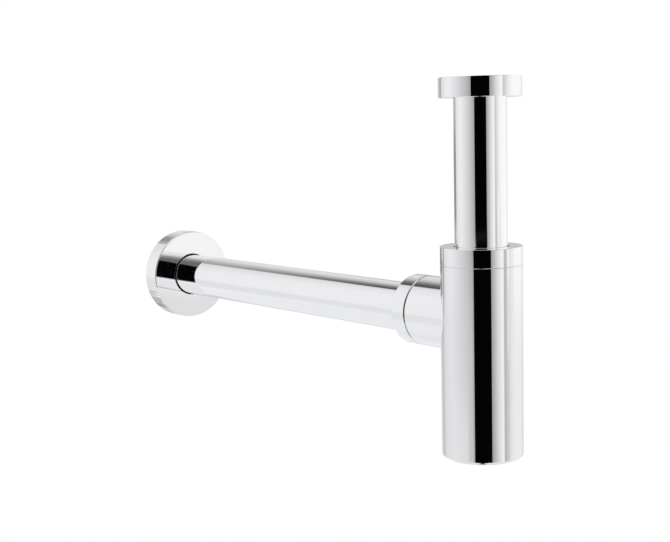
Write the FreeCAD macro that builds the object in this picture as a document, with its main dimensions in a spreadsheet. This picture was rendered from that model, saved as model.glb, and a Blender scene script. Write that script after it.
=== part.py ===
import FreeCAD, Part
import Sketcher
import os

# Bottle trap for a washbasin, chromed brass with 32 mm tubes.
# The origin is the middle of the inlet nut's mouth. Z points up, along the inlet, and Y points
# along the outlet tube to the wall. All sizes are in millimetres.

# Driving dimensions: alias, value, what it measures
SIZES = [
    ("tube_outside", "32", "outside diameter of the inlet tube and the outlet tube"),
    ("tube_wall", "1", "wall of both tubes"),
    ("tube_hole_gap", "0.8", "gap all round a tube in the plate of a nut or flange"),
    ("slide_fit", "0.3", "gap all round a piece that slides on a tube or in a nut"),
    ("seal_fit", "0.05", "gap between a rubber ring and the tube that it grips"),
    ("seat_fit", "0.1", "gap between a piece and the seat that it is pushed into"),
    ("thread_fit", "0.15", "gap between the two walls of a screw thread"),
    ("edge_break", "0.5", "chamfer on turned edges"),
    ("seam_break", "0.25", "finer chamfer on both edges of a nut's seam"),
    ("nut_plate", "2.2", "end plate of each nut"),
    ("slip_ring_thickness", "0.9", "slip ring under each nut's plate"),
    ("inlet_nut_outside", "50", "outside diameter of the inlet nut"),
    ("inlet_thread_bore", "41.91", "wall of the inlet nut's thread, for a 1 1/4 inch tail"),
    ("inlet_thread_length", "5", "depth of the inlet nut's thread below its mouth"),
    ("thread_lead_in", "0.4", "chamfer at the mouth of the inlet thread"),
    ("gasket_recess", "0.3", "how far the gasket lies below the inlet thread"),
    ("gasket_thickness", "2", "flat gasket on the inlet tube's rim"),
    ("gasket_lip", "0.5", "how far the gasket reaches in past the tube's bore"),
    ("tube_rim_width", "3.2", "how far the rim at the inlet tube's top stands out"),
    ("tube_rim_thickness", "1.6", "thickness of that rim"),
    ("exposed_tube", "89", "bare inlet tube between the inlet nut and the bottle nut"),
    ("tube_insert", "62", "inlet tube inside the bottle, from the bottle's top"),
    ("bottle_outside", "50", "outside diameter of the bottle and the bottle nut"),
    ("bottle_height", "130", "bottle with its nut"),
    ("bottle_wall", "1.5", "side wall of the bottle"),
    ("bottle_edge_radius", "1.8", "round at the bottle's lower edge"),
    ("bottle_nut_height", "11.2", "from the bottle's shoulder to the top of its nut"),
    ("bottle_seam", "0.15", "fine seam between the bottle's shoulder and its nut"),
    ("bottle_nut_wall", "2.25", "wall of the bottle nut"),
    ("seal_width", "3", "how far a cone seal stands out from its tube at the wide end"),
    ("seal_tip_width", "1.2", "how far it stands out at the narrow end"),
    ("seal_height", "7", "length of a cone seal along the tube"),
    ("seal_land", "1.8", "straight part of a cone seal at its wide end"),
    ("seal_lip", "0.8", "how far a cone seal stands out of its neck"),
    ("neck_throat", "2.2", "guide for the inlet tube below its seal"),
    ("top_plate", "4", "plate under the bottle's shoulder"),
    ("dip_gap", "0.4", "gap all round the inlet tube in the dip tube"),
    ("dip_wall", "1.2", "wall of the dip tube"),
    ("dip_socket_depth", "9.6", "length of dip tube that its socket holds"),
    ("dip_socket_wall", "2.5", "wall of that socket"),
    ("dip_foot_gap", "9", "dip tube's end above the plug's boss, for a 50 mm water seal"),
    ("outlet_drop", "44.5", "outlet axis below the bottle's top"),
    ("branch_reach", "45.1", "branch's end face from the bottle's axis"),
    ("outlet_seam", "1", "open seam between the branch and its nut"),
    ("outlet_nut_length", "11.5", "length of the outlet nut"),
    ("outlet_nut_wall", "1.65", "wall of the outlet nut, which is as wide as the branch"),
    ("outlet_neck_wall", "1.5", "wall of the threaded neck under the outlet nut"),
    ("outlet_stop", "31", "stop for the outlet tube, from the bottle's axis"),
    ("outlet_tube_start", "40", "inner end of the outlet tube, from the bottle's axis"),
    ("wall_distance", "340", "wall face from the bottle's axis"),
    ("spigot_length", "18", "outlet tube behind its depth line"),
    ("depth_line_width", "0.8", "turned line that marks the wall face on the tube"),
    ("depth_line_depth", "0.25", "depth of that line"),
    ("flange_outside", "70", "outside diameter of the wall flange"),
    ("flange_depth", "15", "wall flange from front to back"),
    ("flange_wall", "1.6", "sheet of the wall flange"),
    ("flange_edge", "0.8", "chamfer at the flange's front edge"),
    ("flange_collar_depth", "7.4", "collar behind the flange's plate"),
    ("flange_collar_wall", "3.8", "wall of that collar"),
    ("grip_ring_section", "2.5", "thickness of the ring that grips the tube in the flange"),
    ("grip_groove_inset", "1.9", "grip ring's groove behind the flange's plate"),
    ("bottom_plate", "5.5", "floor of the bottle"),
    ("plug_boss_height", "6", "threaded boss above the bottle's floor"),
    ("plug_boss_wall", "3.4", "wall of that boss"),
    ("plug_recess", "0.3", "cleaning plug's face above the bottle's lowest edge"),
    ("plug_head_outside", "38", "head of the cleaning plug"),
    ("plug_head_thickness", "2.4", "thickness of that head"),
    ("plug_thread_outside", "33", "threaded shank of the cleaning plug"),
    ("plug_thread_length", "6.5", "length of that shank inside the boss"),
    ("plug_wall", "3", "wall of the hollow shank"),
    ("plug_web", "1.8", "closed floor of the plug above its head"),
    ("plug_slot_width", "3", "coin slot in the plug"),
    ("plug_slot_length", "26", "length of that slot"),
    ("plug_slot_depth", "1.8", "depth of that slot"),
    ("plug_ring_section", "1.8", "thickness of the plug's o-ring"),
    ("plug_ring_gap", "0.2", "gap between the o-ring and the shank"),
]

# Places that follow from the driving dimensions: alias, formula.
# Heights are along Z from the inlet's mouth, outlet places along Y from the bottle's axis.
PLACES = [
    ("tube_radius", "=Sizes.tube_outside / 2"),
    ("bore_radius", "=tube_radius - Sizes.tube_wall"),
    ("hole_radius", "=tube_radius + Sizes.tube_hole_gap"),
    ("guide_radius", "=tube_radius + Sizes.slide_fit"),
    ("grip_radius", "=tube_radius + Sizes.seal_fit"),
    ("inlet_nut_radius", "=Sizes.inlet_nut_outside / 2"),
    ("inlet_thread_radius", "=Sizes.inlet_thread_bore / 2"),
    ("gasket_radius", "=bore_radius - Sizes.gasket_lip"),
    ("rim_radius", "=tube_radius + Sizes.tube_rim_width"),
    ("rim_seat_radius", "=rim_radius + Sizes.slide_fit"),
    ("inlet_step", "=-Sizes.inlet_thread_length"),
    ("gasket_top", "=inlet_step - Sizes.gasket_recess"),
    ("rim_top", "=gasket_top - Sizes.gasket_thickness"),
    ("rim_base", "=rim_top - Sizes.tube_rim_thickness"),
    ("inlet_shelf", "=rim_base - Sizes.slip_ring_thickness"),
    ("inlet_nut_base", "=inlet_shelf - Sizes.nut_plate"),
    ("bottle_top", "=inlet_nut_base - Sizes.exposed_tube"),
    ("tube_end", "=bottle_top - Sizes.tube_insert"),
    ("seal_radius", "=tube_radius + Sizes.seal_width"),
    ("seal_tip_radius", "=tube_radius + Sizes.seal_tip_width"),
    ("seat_radius", "=seal_radius + Sizes.seat_fit"),
    ("seat_tip_radius", "=seal_tip_radius + Sizes.seat_fit"),
    ("bottle_radius", "=Sizes.bottle_outside / 2"),
    ("bottle_bore_radius", "=bottle_radius - Sizes.bottle_wall"),
    ("bottle_thread_radius", "=bottle_radius - Sizes.bottle_nut_wall"),
    ("bottle_neck_radius", "=bottle_thread_radius - Sizes.thread_fit"),
    ("bottle_shelf", "=bottle_top - Sizes.nut_plate"),
    ("bottle_seal_top", "=bottle_shelf - Sizes.slip_ring_thickness"),
    ("bottle_seal_land", "=bottle_seal_top - Sizes.seal_land"),
    ("bottle_seal_base", "=bottle_seal_top - Sizes.seal_height"),
    ("bottle_neck_top", "=bottle_seal_top - Sizes.seal_lip"),
    ("bottle_shoulder", "=bottle_top - Sizes.bottle_nut_height"),
    ("bottle_nut_base", "=bottle_shoulder + Sizes.bottle_seam"),
    ("top_plate_base", "=bottle_shoulder - Sizes.top_plate"),
    ("outlet_axis", "=bottle_top - Sizes.outlet_drop"),
    ("dip_bore_radius", "=tube_radius + Sizes.dip_gap"),
    ("dip_radius", "=dip_bore_radius + Sizes.dip_wall"),
    ("dip_socket_radius", "=dip_radius + Sizes.seat_fit"),
    ("dip_boss_radius", "=dip_socket_radius + Sizes.dip_socket_wall"),
    ("dip_top", "=bottle_seal_base - Sizes.neck_throat"),
    ("dip_socket_base", "=dip_top - Sizes.dip_socket_depth"),
    ("bottle_base", "=bottle_top - Sizes.bottle_height"),
    ("floor_top", "=bottle_base + Sizes.bottom_plate"),
    ("plug_boss_top", "=floor_top + Sizes.plug_boss_height"),
    ("dip_end", "=plug_boss_top + Sizes.dip_foot_gap"),
    ("plug_head_radius", "=Sizes.plug_head_outside / 2"),
    ("plug_pocket_radius", "=plug_head_radius + Sizes.slide_fit"),
    ("plug_thread_radius", "=Sizes.plug_thread_outside / 2"),
    ("plug_hole_radius", "=plug_thread_radius + Sizes.thread_fit"),
    ("plug_boss_radius", "=plug_hole_radius + Sizes.plug_boss_wall"),
    ("plug_hollow_radius", "=plug_thread_radius - Sizes.plug_wall"),
    ("plug_face", "=bottle_base + Sizes.plug_recess"),
    ("plug_head_top", "=plug_face + Sizes.plug_head_thickness"),
    ("plug_web_top", "=plug_head_top + Sizes.plug_web"),
    ("plug_ring_seat", "=plug_head_top + Sizes.plug_ring_section + Sizes.seat_fit"),
    ("plug_top", "=plug_ring_seat + Sizes.plug_thread_length"),
    ("plug_ring_height", "=(plug_head_top + plug_ring_seat) / 2"),
    ("plug_ring_middle", "=plug_thread_radius + Sizes.plug_ring_gap + Sizes.plug_ring_section / 2"),
    ("outlet_neck_radius", "=seat_radius + Sizes.outlet_neck_wall"),
    ("outlet_thread_radius", "=outlet_neck_radius + Sizes.thread_fit"),
    ("branch_radius", "=outlet_thread_radius + Sizes.outlet_nut_wall"),
    ("outlet_nut_start", "=Sizes.branch_reach + Sizes.outlet_seam"),
    ("outlet_nut_end", "=outlet_nut_start + Sizes.outlet_nut_length"),
    ("outlet_shelf", "=outlet_nut_end - Sizes.nut_plate"),
    ("outlet_seal_top", "=outlet_shelf - Sizes.slip_ring_thickness"),
    ("outlet_seal_land", "=outlet_seal_top - Sizes.seal_land"),
    ("outlet_seal_base", "=outlet_seal_top - Sizes.seal_height"),
    ("outlet_neck_end", "=outlet_seal_top - Sizes.seal_lip"),
    ("line_start", "=Sizes.wall_distance - Sizes.depth_line_width / 2"),
    ("line_end", "=Sizes.wall_distance + Sizes.depth_line_width / 2"),
    ("line_radius", "=tube_radius - Sizes.depth_line_depth"),
    ("outlet_tube_end", "=line_end + Sizes.spigot_length"),
    ("flange_radius", "=Sizes.flange_outside / 2"),
    ("flange_rim_radius", "=flange_radius - Sizes.flange_wall"),
    ("flange_front", "=Sizes.wall_distance - Sizes.flange_depth"),
    ("flange_plate_back", "=flange_front + Sizes.flange_wall"),
    ("flange_collar_radius", "=hole_radius + Sizes.flange_collar_wall"),
    ("flange_collar_end", "=flange_plate_back + Sizes.flange_collar_depth"),
    ("grip_groove_start", "=flange_plate_back + Sizes.grip_groove_inset"),
    ("grip_groove_end", "=grip_groove_start + Sizes.grip_ring_section + 2 * Sizes.seat_fit"),
    ("grip_groove_radius", "=grip_radius + Sizes.grip_ring_section + Sizes.seat_fit"),
    ("grip_ring_middle", "=grip_radius + Sizes.grip_ring_section / 2"),
    ("grip_ring_place", "=(grip_groove_start + grip_groove_end) / 2"),
]

FULL_TURN = 360
ALONG_OUTLET = FreeCAD.Rotation(FreeCAD.Vector(1, 0, 0), -90)


def fill_sheet(doc, name, rows):
    """Write one alias and its value or formula to each row of a new sheet."""
    sheet = doc.addObject("Spreadsheet::Sheet", name)
    for number, row in enumerate(rows, start=1):
        cell = "B%d" % number
        sheet.set("A%d" % number, row[-1] if len(row) == 3 else row[0])
        sheet.set(cell, row[1])
        sheet.setAlias(cell, row[0])
    doc.recompute()
    return sheet


def place(alias):
    """Expression that reads a named place."""
    return "Places." + alias


def size(alias):
    """Expression that reads a driving dimension."""
    return "Sizes." + alias


def less_break(alias, chamfer="edge_break"):
    """A place one chamfer below the named one."""
    return "Places.%s - Sizes.%s" % (alias, chamfer)


def plus_break(alias, chamfer="edge_break"):
    """A place one chamfer above the named one."""
    return "Places.%s + Sizes.%s" % (alias, chamfer)


def new_body(doc, label):
    """Empty body whose label names its node."""
    body = doc.addObject("PartDesign::Body", label)
    body.Label = label
    return body


def attach(body, sketch, role):
    """Lay a sketch on one of its body's own origin planes."""
    planes = [feature for feature in body.Origin.OriginFeatures if feature.Role == role]
    sketch.AttachmentSupport = [(planes[0], "")]
    sketch.MapMode = "FlatFace"


def bind_point(sketch, line, across, along):
    """Hold a line's start at two distances from the sketch's origin."""
    axes = ((across, "DistanceX", -2), (along, "DistanceY", -1))
    for expression, kind, axis in axes:
        if expression == "0":
            sketch.addConstraint(Sketcher.Constraint("PointOnObject", line, 1, axis))
            continue
        value = float(sketch.evalExpression(expression))
        index = sketch.addConstraint(Sketcher.Constraint(kind, -1, 1, line, 1, value))
        sketch.setExpression("Constraints[%d]" % index, expression)


def outline(body, name, role, corners):
    """Closed sketch of straight lines through corners, each a pair of expressions."""
    sketch = body.newObject("Sketcher::SketchObject", name)
    attach(body, sketch, role)
    values = [[float(sketch.evalExpression(text)) for text in corner] for corner in corners]
    points = [FreeCAD.Vector(across, along, 0) for across, along in values]
    count = len(points)
    for number in range(count):
        line = Part.LineSegment(points[number], points[(number + 1) % count])
        sketch.addGeometry(line, False)
    for number in range(count):
        joint = Sketcher.Constraint("Coincident", number, 2, (number + 1) % count, 1)
        sketch.addConstraint(joint)
    for number, corner in enumerate(corners):
        bind_point(sketch, number, corner[0], corner[1])
    return sketch


def turn(body, kind, sketch, axis):
    """Revolve a sketch a full turn about one of its own axes, to add or to cut."""
    feature = body.newObject("PartDesign::" + kind, kind + sketch.Name)
    feature.Profile = sketch
    feature.ReferenceAxis = (sketch, [axis])
    feature.Angle = FULL_TURN
    return feature


def turned(doc, label, corners):
    """Body turned about its own Z axis from corners of radius and height."""
    body = new_body(doc, label)
    sketch = outline(body, label + "_profile", "XZ_Plane", corners)
    turn(body, "Revolution", sketch, "V_Axis")
    return body


def ring(doc, label, inner, outer, low, high):
    """Plain ring with a rectangular section."""
    return turned(doc, label, [(inner, low), (outer, low), (outer, high), (inner, high)])


def torus(doc, label, middle, section):
    """Round rubber ring."""
    rubber = doc.addObject("Part::Torus", label)
    rubber.Label = label
    rubber.setExpression("Radius1", middle)
    rubber.setExpression("Radius2", section + " / 2")
    return rubber


def lay_on_outlet(piece, along="0"):
    """Turn a piece so that its own Z axis runs along the outlet tube."""
    piece.Placement = FreeCAD.Placement(FreeCAD.Vector(0, 0, 0), ALONG_OUTLET)
    piece.setExpression("Placement.Base.y", along)
    piece.setExpression("Placement.Base.z", place("outlet_axis"))


def capped_nut(doc, label, outer, thread, mouth, shelf, face):
    """Nut with a plate at one end: mouth is its open end, face is the plate's outer face."""
    return turned(
        doc,
        label,
        [
            (place(thread), place(mouth)),
            (less_break(outer, "seam_break"), place(mouth)),
            (place(outer), plus_break(mouth, "seam_break")),
            (place(outer), less_break(face)),
            (less_break(outer), place(face)),
            (place("hole_radius"), place(face)),
            (place("hole_radius"), place(shelf)),
            (place(thread), place(shelf)),
        ],
    )


def cone_seal(doc, label, base, land, top):
    """Rubber ring with a straight land at its wide end and a taper to its tip."""
    return turned(
        doc,
        label,
        [
            (place("grip_radius"), place(base)),
            (place("seal_tip_radius"), place(base)),
            (place("seal_radius"), place(land)),
            (place("seal_radius"), place(top)),
            (place("grip_radius"), place(top)),
        ],
    )


def inlet_nut(doc):
    """Loose nut that screws to the tail of the basin waste."""
    return turned(
        doc,
        "inlet_nut",
        [
            (place("hole_radius"), place("inlet_nut_base")),
            (less_break("inlet_nut_radius"), place("inlet_nut_base")),
            (place("inlet_nut_radius"), plus_break("inlet_nut_base")),
            (place("inlet_nut_radius"), "-Sizes.edge_break"),
            (less_break("inlet_nut_radius"), "0"),
            ("Places.inlet_thread_radius + Sizes.thread_lead_in", "0"),
            (place("inlet_thread_radius"), "-Sizes.thread_lead_in"),
            (place("inlet_thread_radius"), place("inlet_step")),
            (place("rim_seat_radius"), place("inlet_step")),
            (place("rim_seat_radius"), place("inlet_shelf")),
            (place("hole_radius"), place("inlet_shelf")),
        ],
    )


def inlet_tube(doc):
    """Straight tube with a flat rim at its top."""
    return turned(
        doc,
        "inlet_tube",
        [
            (place("bore_radius"), place("tube_end")),
            (place("tube_radius"), place("tube_end")),
            (place("tube_radius"), place("rim_base")),
            (place("rim_radius"), place("rim_base")),
            (place("rim_radius"), place("rim_top")),
            (place("bore_radius"), place("rim_top")),
        ],
    )


def inlet_rings(doc):
    """Gasket above the tube's rim and slip ring below it."""
    gasket = ring(
        doc,
        "inlet_gasket",
        place("gasket_radius"),
        place("rim_radius"),
        place("rim_top"),
        place("gasket_top"),
    )
    slip = ring(
        doc,
        "inlet_slip_ring",
        place("guide_radius"),
        place("rim_radius"),
        place("inlet_shelf"),
        place("rim_base"),
    )
    return [gasket, slip]


def bottle_outside_form(doc, body):
    """Solid cylinder and neck, with a round lower edge, and the solid branch."""
    sketch = outline(
        body,
        "bottle_outside_profile",
        "XZ_Plane",
        [
            ("0", place("bottle_base")),
            (place("bottle_radius"), place("bottle_base")),
            (place("bottle_radius"), less_break("bottle_shoulder", "seam_break")),
            (less_break("bottle_radius", "seam_break"), place("bottle_shoulder")),
            (place("bottle_neck_radius"), place("bottle_shoulder")),
            (place("bottle_neck_radius"), less_break("bottle_neck_top")),
            (less_break("bottle_neck_radius"), place("bottle_neck_top")),
            ("0", place("bottle_neck_top")),
        ],
    )
    cylinder = turn(body, "Revolution", sketch, "V_Axis")
    doc.recompute()
    rounding = body.newObject("PartDesign::Fillet", "bottle_edge_round")
    rounding.Base = (cylinder, [lower_edge(cylinder.Shape)])
    rounding.setExpression("Radius", size("bottle_edge_radius"))
    branch = outline(
        body,
        "branch_profile",
        "YZ_Plane",
        [
            ("0", "0"),
            ("0", place("branch_radius")),
            ("Sizes.branch_reach - Sizes.seam_break", place("branch_radius")),
            (size("branch_reach"), less_break("branch_radius", "seam_break")),
            (size("branch_reach"), place("outlet_neck_radius")),
            (less_break("outlet_neck_end"), place("outlet_neck_radius")),
            (place("outlet_neck_end"), less_break("outlet_neck_radius")),
            (place("outlet_neck_end"), "0"),
        ],
    )
    branch.setExpression("AttachmentOffset.Base.y", place("outlet_axis"))
    turn(body, "Revolution", branch, "H_Axis")
    doc.recompute()


def lower_edge(shape):
    """Name of the shape's lowest round edge of the largest radius."""
    rounds = []
    for number, edge in enumerate(shape.Edges, start=1):
        if isinstance(edge.Curve, Part.Circle):
            rounds.append((edge.Curve.Center.z, -edge.Curve.Radius, "Edge%d" % number))
    return min(rounds)[2]


def bottle_inside_form(doc, body):
    """Seal seat, guide, dip tube socket, water space and plug hole, then the outlet bore."""
    sketch = outline(
        body,
        "bottle_inside_profile",
        "XZ_Plane",
        [
            ("0", place("bottle_top")),
            (place("seat_radius"), place("bottle_top")),
            (place("seat_radius"), place("bottle_seal_land")),
            (place("seat_tip_radius"), place("bottle_seal_base")),
            (place("guide_radius"), place("bottle_seal_base")),
            (place("guide_radius"), place("dip_top")),
            (place("dip_socket_radius"), place("dip_top")),
            (place("dip_socket_radius"), place("dip_socket_base")),
            (place("dip_boss_radius"), place("dip_socket_base")),
            (place("dip_boss_radius"), place("top_plate_base")),
            (place("bottle_bore_radius"), place("top_plate_base")),
            (place("bottle_bore_radius"), place("floor_top")),
            (place("plug_boss_radius"), place("floor_top")),
            (place("plug_boss_radius"), place("plug_boss_top")),
            (place("plug_hole_radius"), place("plug_boss_top")),
            (place("plug_hole_radius"), place("plug_ring_seat")),
            (place("plug_pocket_radius"), place("plug_ring_seat")),
            (place("plug_pocket_radius"), less_break("bottle_base")),
            ("0", less_break("bottle_base")),
        ],
    )
    turn(body, "Groove", sketch, "V_Axis")
    bore = outline(
        body,
        "outlet_bore_profile",
        "YZ_Plane",
        [
            ("0", "0"),
            ("0", place("bore_radius")),
            (size("outlet_stop"), place("bore_radius")),
            (size("outlet_stop"), place("guide_radius")),
            (place("outlet_seal_base"), place("guide_radius")),
            (place("outlet_seal_base"), place("seat_tip_radius")),
            (place("outlet_seal_land"), place("seat_radius")),
            (place("outlet_nut_end"), place("seat_radius")),
            (place("outlet_nut_end"), "0"),
        ],
    )
    bore.setExpression("AttachmentOffset.Base.y", place("outlet_axis"))
    turn(body, "Groove", bore, "H_Axis")
    doc.recompute()


def bottle_body(doc):
    """Bottle with its neck and branch, brazed and turned as one piece."""
    body = new_body(doc, "bottle_body")
    bottle_outside_form(doc, body)
    solid_volume = body.Shape.Volume
    bottle_inside_form(doc, body)
    if body.Shape.Volume > solid_volume / 2:
        raise RuntimeError("the bottle was not hollowed out")
    return body


def bottle_top_pieces(doc):
    """Nut, slip ring and cone seal that hold the inlet tube, and the dip tube below them."""
    nut = capped_nut(
        doc,
        "bottle_nut",
        "bottle_radius",
        "bottle_thread_radius",
        "bottle_nut_base",
        "bottle_shelf",
        "bottle_top",
    )
    slip = ring(
        doc,
        "bottle_slip_ring",
        place("guide_radius"),
        place("seal_radius"),
        place("bottle_seal_top"),
        place("bottle_shelf"),
    )
    seal = cone_seal(
        doc, "bottle_cone_seal", "bottle_seal_base", "bottle_seal_land", "bottle_seal_top"
    )
    dip = ring(
        doc,
        "dip_tube",
        place("dip_bore_radius"),
        place("dip_radius"),
        place("dip_end"),
        place("dip_top"),
    )
    return [nut, slip, seal, dip]


def cleaning_plug(doc):
    """Hollow screw plug in the bottle's floor, with a coin slot in its face."""
    body = turned(
        doc,
        "cleaning_plug",
        [
            ("0", place("plug_face")),
            (place("plug_head_radius"), place("plug_face")),
            (place("plug_head_radius"), place("plug_head_top")),
            (place("plug_thread_radius"), place("plug_head_top")),
            (place("plug_thread_radius"), place("plug_top")),
            (place("plug_hollow_radius"), place("plug_top")),
            (place("plug_hollow_radius"), place("plug_web_top")),
            ("0", place("plug_web_top")),
        ],
    )
    doc.recompute()
    whole_volume = body.Shape.Volume
    half_length = size("plug_slot_length") + " / 2"
    half_width = size("plug_slot_width") + " / 2"
    sketch = outline(
        body,
        "plug_slot_outline",
        "XY_Plane",
        [
            ("-" + half_length, "-" + half_width),
            (half_length, "-" + half_width),
            (half_length, half_width),
            ("-" + half_length, half_width),
        ],
    )
    sketch.setExpression("AttachmentOffset.Base.z", place("plug_face"))
    slot = body.newObject("PartDesign::Pocket", "plug_slot")
    slot.Profile = sketch
    slot.Reversed = True
    slot.setExpression("Length", size("plug_slot_depth"))
    doc.recompute()
    if body.Shape.Volume >= whole_volume:
        raise RuntimeError("the slot did not cut the plug")
    return body


def plug_o_ring(doc):
    """Rubber ring between the plug's head and its seat."""
    rubber = torus(doc, "plug_o_ring", place("plug_ring_middle"), size("plug_ring_section"))
    rubber.setExpression("Placement.Base.z", place("plug_ring_height"))
    return rubber


def outlet_pieces(doc):
    """Nut, slip ring and cone seal that hold the outlet tube in the branch."""
    nut = capped_nut(
        doc,
        "outlet_nut",
        "branch_radius",
        "outlet_thread_radius",
        "outlet_nut_start",
        "outlet_shelf",
        "outlet_nut_end",
    )
    slip = ring(
        doc,
        "outlet_slip_ring",
        place("guide_radius"),
        place("seal_radius"),
        place("outlet_seal_top"),
        place("outlet_shelf"),
    )
    seal = cone_seal(
        doc, "outlet_cone_seal", "outlet_seal_base", "outlet_seal_land", "outlet_seal_top"
    )
    pieces = [nut, slip, seal]
    for piece in pieces:
        lay_on_outlet(piece)
    return pieces


def outlet_tube(doc):
    """Straight tube to the wall, with a turned line that shows how far it goes in."""
    body = turned(
        doc,
        "outlet_tube",
        [
            (place("bore_radius"), size("outlet_tube_start")),
            (place("tube_radius"), size("outlet_tube_start")),
            (place("tube_radius"), place("line_start")),
            (place("line_radius"), place("line_start")),
            (place("line_radius"), place("line_end")),
            (place("tube_radius"), place("line_end")),
            (place("tube_radius"), less_break("outlet_tube_end")),
            (less_break("tube_radius"), place("outlet_tube_end")),
            (place("bore_radius"), place("outlet_tube_end")),
        ],
    )
    lay_on_outlet(body)
    return body


def wall_flange(doc):
    """Hollow round cover for the hole in the wall, with a grooved collar behind its plate."""
    body = turned(
        doc,
        "wall_flange",
        [
            (place("hole_radius"), place("flange_front")),
            ("Places.flange_radius - Sizes.flange_edge", place("flange_front")),
            (place("flange_radius"), "Places.flange_front + Sizes.flange_edge"),
            (place("flange_radius"), size("wall_distance")),
            (place("flange_rim_radius"), size("wall_distance")),
            (place("flange_rim_radius"), place("flange_plate_back")),
            (place("flange_collar_radius"), place("flange_plate_back")),
            (place("flange_collar_radius"), place("flange_collar_end")),
            (place("hole_radius"), place("flange_collar_end")),
            (place("hole_radius"), place("grip_groove_end")),
            (place("grip_groove_radius"), place("grip_groove_end")),
            (place("grip_groove_radius"), place("grip_groove_start")),
            (place("hole_radius"), place("grip_groove_start")),
        ],
    )
    lay_on_outlet(body)
    return body


def flange_grip_ring(doc):
    """Rubber ring in the flange's groove that grips the outlet tube."""
    rubber = torus(doc, "flange_grip_ring", place("grip_ring_middle"), size("grip_ring_section"))
    lay_on_outlet(rubber, place("grip_ring_place"))
    return rubber


def check_document(doc, pieces):
    """Stop if any object failed or any piece has no sound solid."""
    for thing in doc.Objects:
        if "Invalid" in thing.State or "Error" in thing.State:
            raise RuntimeError("%s failed: %s" % (thing.Label, thing.State))
    for piece in pieces:
        if piece.Shape.isNull() or not piece.Shape.isValid() or len(piece.Shape.Solids) != 1:
            raise RuntimeError("%s is not one sound solid" % piece.Label)


def main():
    """Build every piece, check it and write it to its own file."""
    doc = FreeCAD.newDocument("bottle_trap")
    fill_sheet(doc, "Sizes", SIZES)
    fill_sheet(doc, "Places", PLACES)
    pieces = [inlet_nut(doc), inlet_tube(doc)]
    pieces += inlet_rings(doc)
    pieces.append(bottle_body(doc))
    pieces += bottle_top_pieces(doc)
    pieces.append(cleaning_plug(doc))
    pieces.append(plug_o_ring(doc))
    pieces += outlet_pieces(doc)
    pieces.append(outlet_tube(doc))
    pieces.append(wall_flange(doc))
    pieces.append(flange_grip_ring(doc))
    doc.recompute()
    check_document(doc, pieces)
    os.makedirs("parts", exist_ok=True)
    for piece in pieces:
        piece.Shape.exportStep("parts/%s.step" % piece.Label)
        print("%s: %.1f cubic millimetres" % (piece.Label, piece.Shape.Volume))


main()
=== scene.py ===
import logging
import math
from dataclasses import dataclass
from enum import Enum
from typing import Any, Callable, Dict, List, Optional, Sequence, Tuple, Union

import bmesh
import bpy
from mathutils import Matrix, Vector


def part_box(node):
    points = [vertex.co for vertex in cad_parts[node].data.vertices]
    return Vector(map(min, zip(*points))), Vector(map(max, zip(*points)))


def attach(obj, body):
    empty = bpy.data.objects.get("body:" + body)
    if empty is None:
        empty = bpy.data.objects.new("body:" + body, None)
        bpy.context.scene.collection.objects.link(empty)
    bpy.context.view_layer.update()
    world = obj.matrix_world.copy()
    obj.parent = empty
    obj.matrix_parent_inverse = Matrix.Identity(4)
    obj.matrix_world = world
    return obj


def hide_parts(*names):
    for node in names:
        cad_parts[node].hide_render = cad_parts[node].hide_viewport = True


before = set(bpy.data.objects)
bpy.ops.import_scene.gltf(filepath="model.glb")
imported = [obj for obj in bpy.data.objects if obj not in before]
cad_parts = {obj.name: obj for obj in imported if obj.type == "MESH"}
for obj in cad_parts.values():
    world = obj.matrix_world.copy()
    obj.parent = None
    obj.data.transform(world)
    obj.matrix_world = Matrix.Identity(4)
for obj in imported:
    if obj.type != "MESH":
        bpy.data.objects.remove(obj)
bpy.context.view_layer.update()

# Chromed bottle trap for a washbasin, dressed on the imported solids.
# Sizes are in millimetres and the scene is in metres, in the frame of the solids: the origin is
# the middle of the inlet nut's mouth, Z points up and Y points along the outlet tube to the wall.
MM = 0.001
OUTLET_LOW, OUTLET_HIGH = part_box("outlet_tube")
log = logging.getLogger("bottle_trap")

Span = Tuple[float, float]
Triple = Tuple[float, float, float]
Corner = Triple
Colour = Triple
Tone = Tuple[float, float, float, float]
Input = Union["Value", bpy.types.NodeSocket, float, Sequence[float]]

# Roundings of turned corners, in millimetres
SHARP, HAIR, CRISP, EASED, BROKEN = 0.0, 0.05, 0.08, 0.1, 0.15
SOFT, MILD, ROUND, BROAD, WIDE = 0.2, 0.25, 0.3, 0.4, 0.6
ROUND_SEGMENTS = 3

# Steps of a full turn: large pieces, usual ones, small ones and threads
LARGE_STEPS, STEPS, SMALL_STEPS, THREAD_STEPS = 320, 256, 160, 96

# Fine thread of the nuts and the plug, in millimetres: its pitch and depth, the room behind an
# inner thread, how deep a ridge is sunk in its wall, and how far an inner one reaches inwards
PITCH = 1.5
THREAD_DEPTH = 0.65
THREAD_ROOM = 0.45
ROOT_SINK = 0.05
CREST_REACH = 0.4

# Distances in metres below which two points are one: on an outline, and on a solid
OUTLINE_GAP = 1e-6
SOLID_GAP = 2e-7

# How far past a wall, a bore or a plate the inner finish is given, in millimetres
WALL_SKIN = 0.1
BORE_SKIN = 0.2
PLATE_SKIN = 0.5

# Sockets of the node that mixes two colours
MIX_SHARE, MIX_FIRST, MIX_SECOND, MIX_RESULT = 0, 6, 7, 2

EVEN: Triple = (1.0, 1.0, 1.0)
BLACK: Tone = (0.0, 0.0, 0.0, 1.0)
WHITE: Tone = (1.0, 1.0, 1.0, 1.0)

# Brightness of the dark opening that the camera looks through, and of the painted dark strip on
# the floor that metal mirrors
OPENING = 0.001


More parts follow.
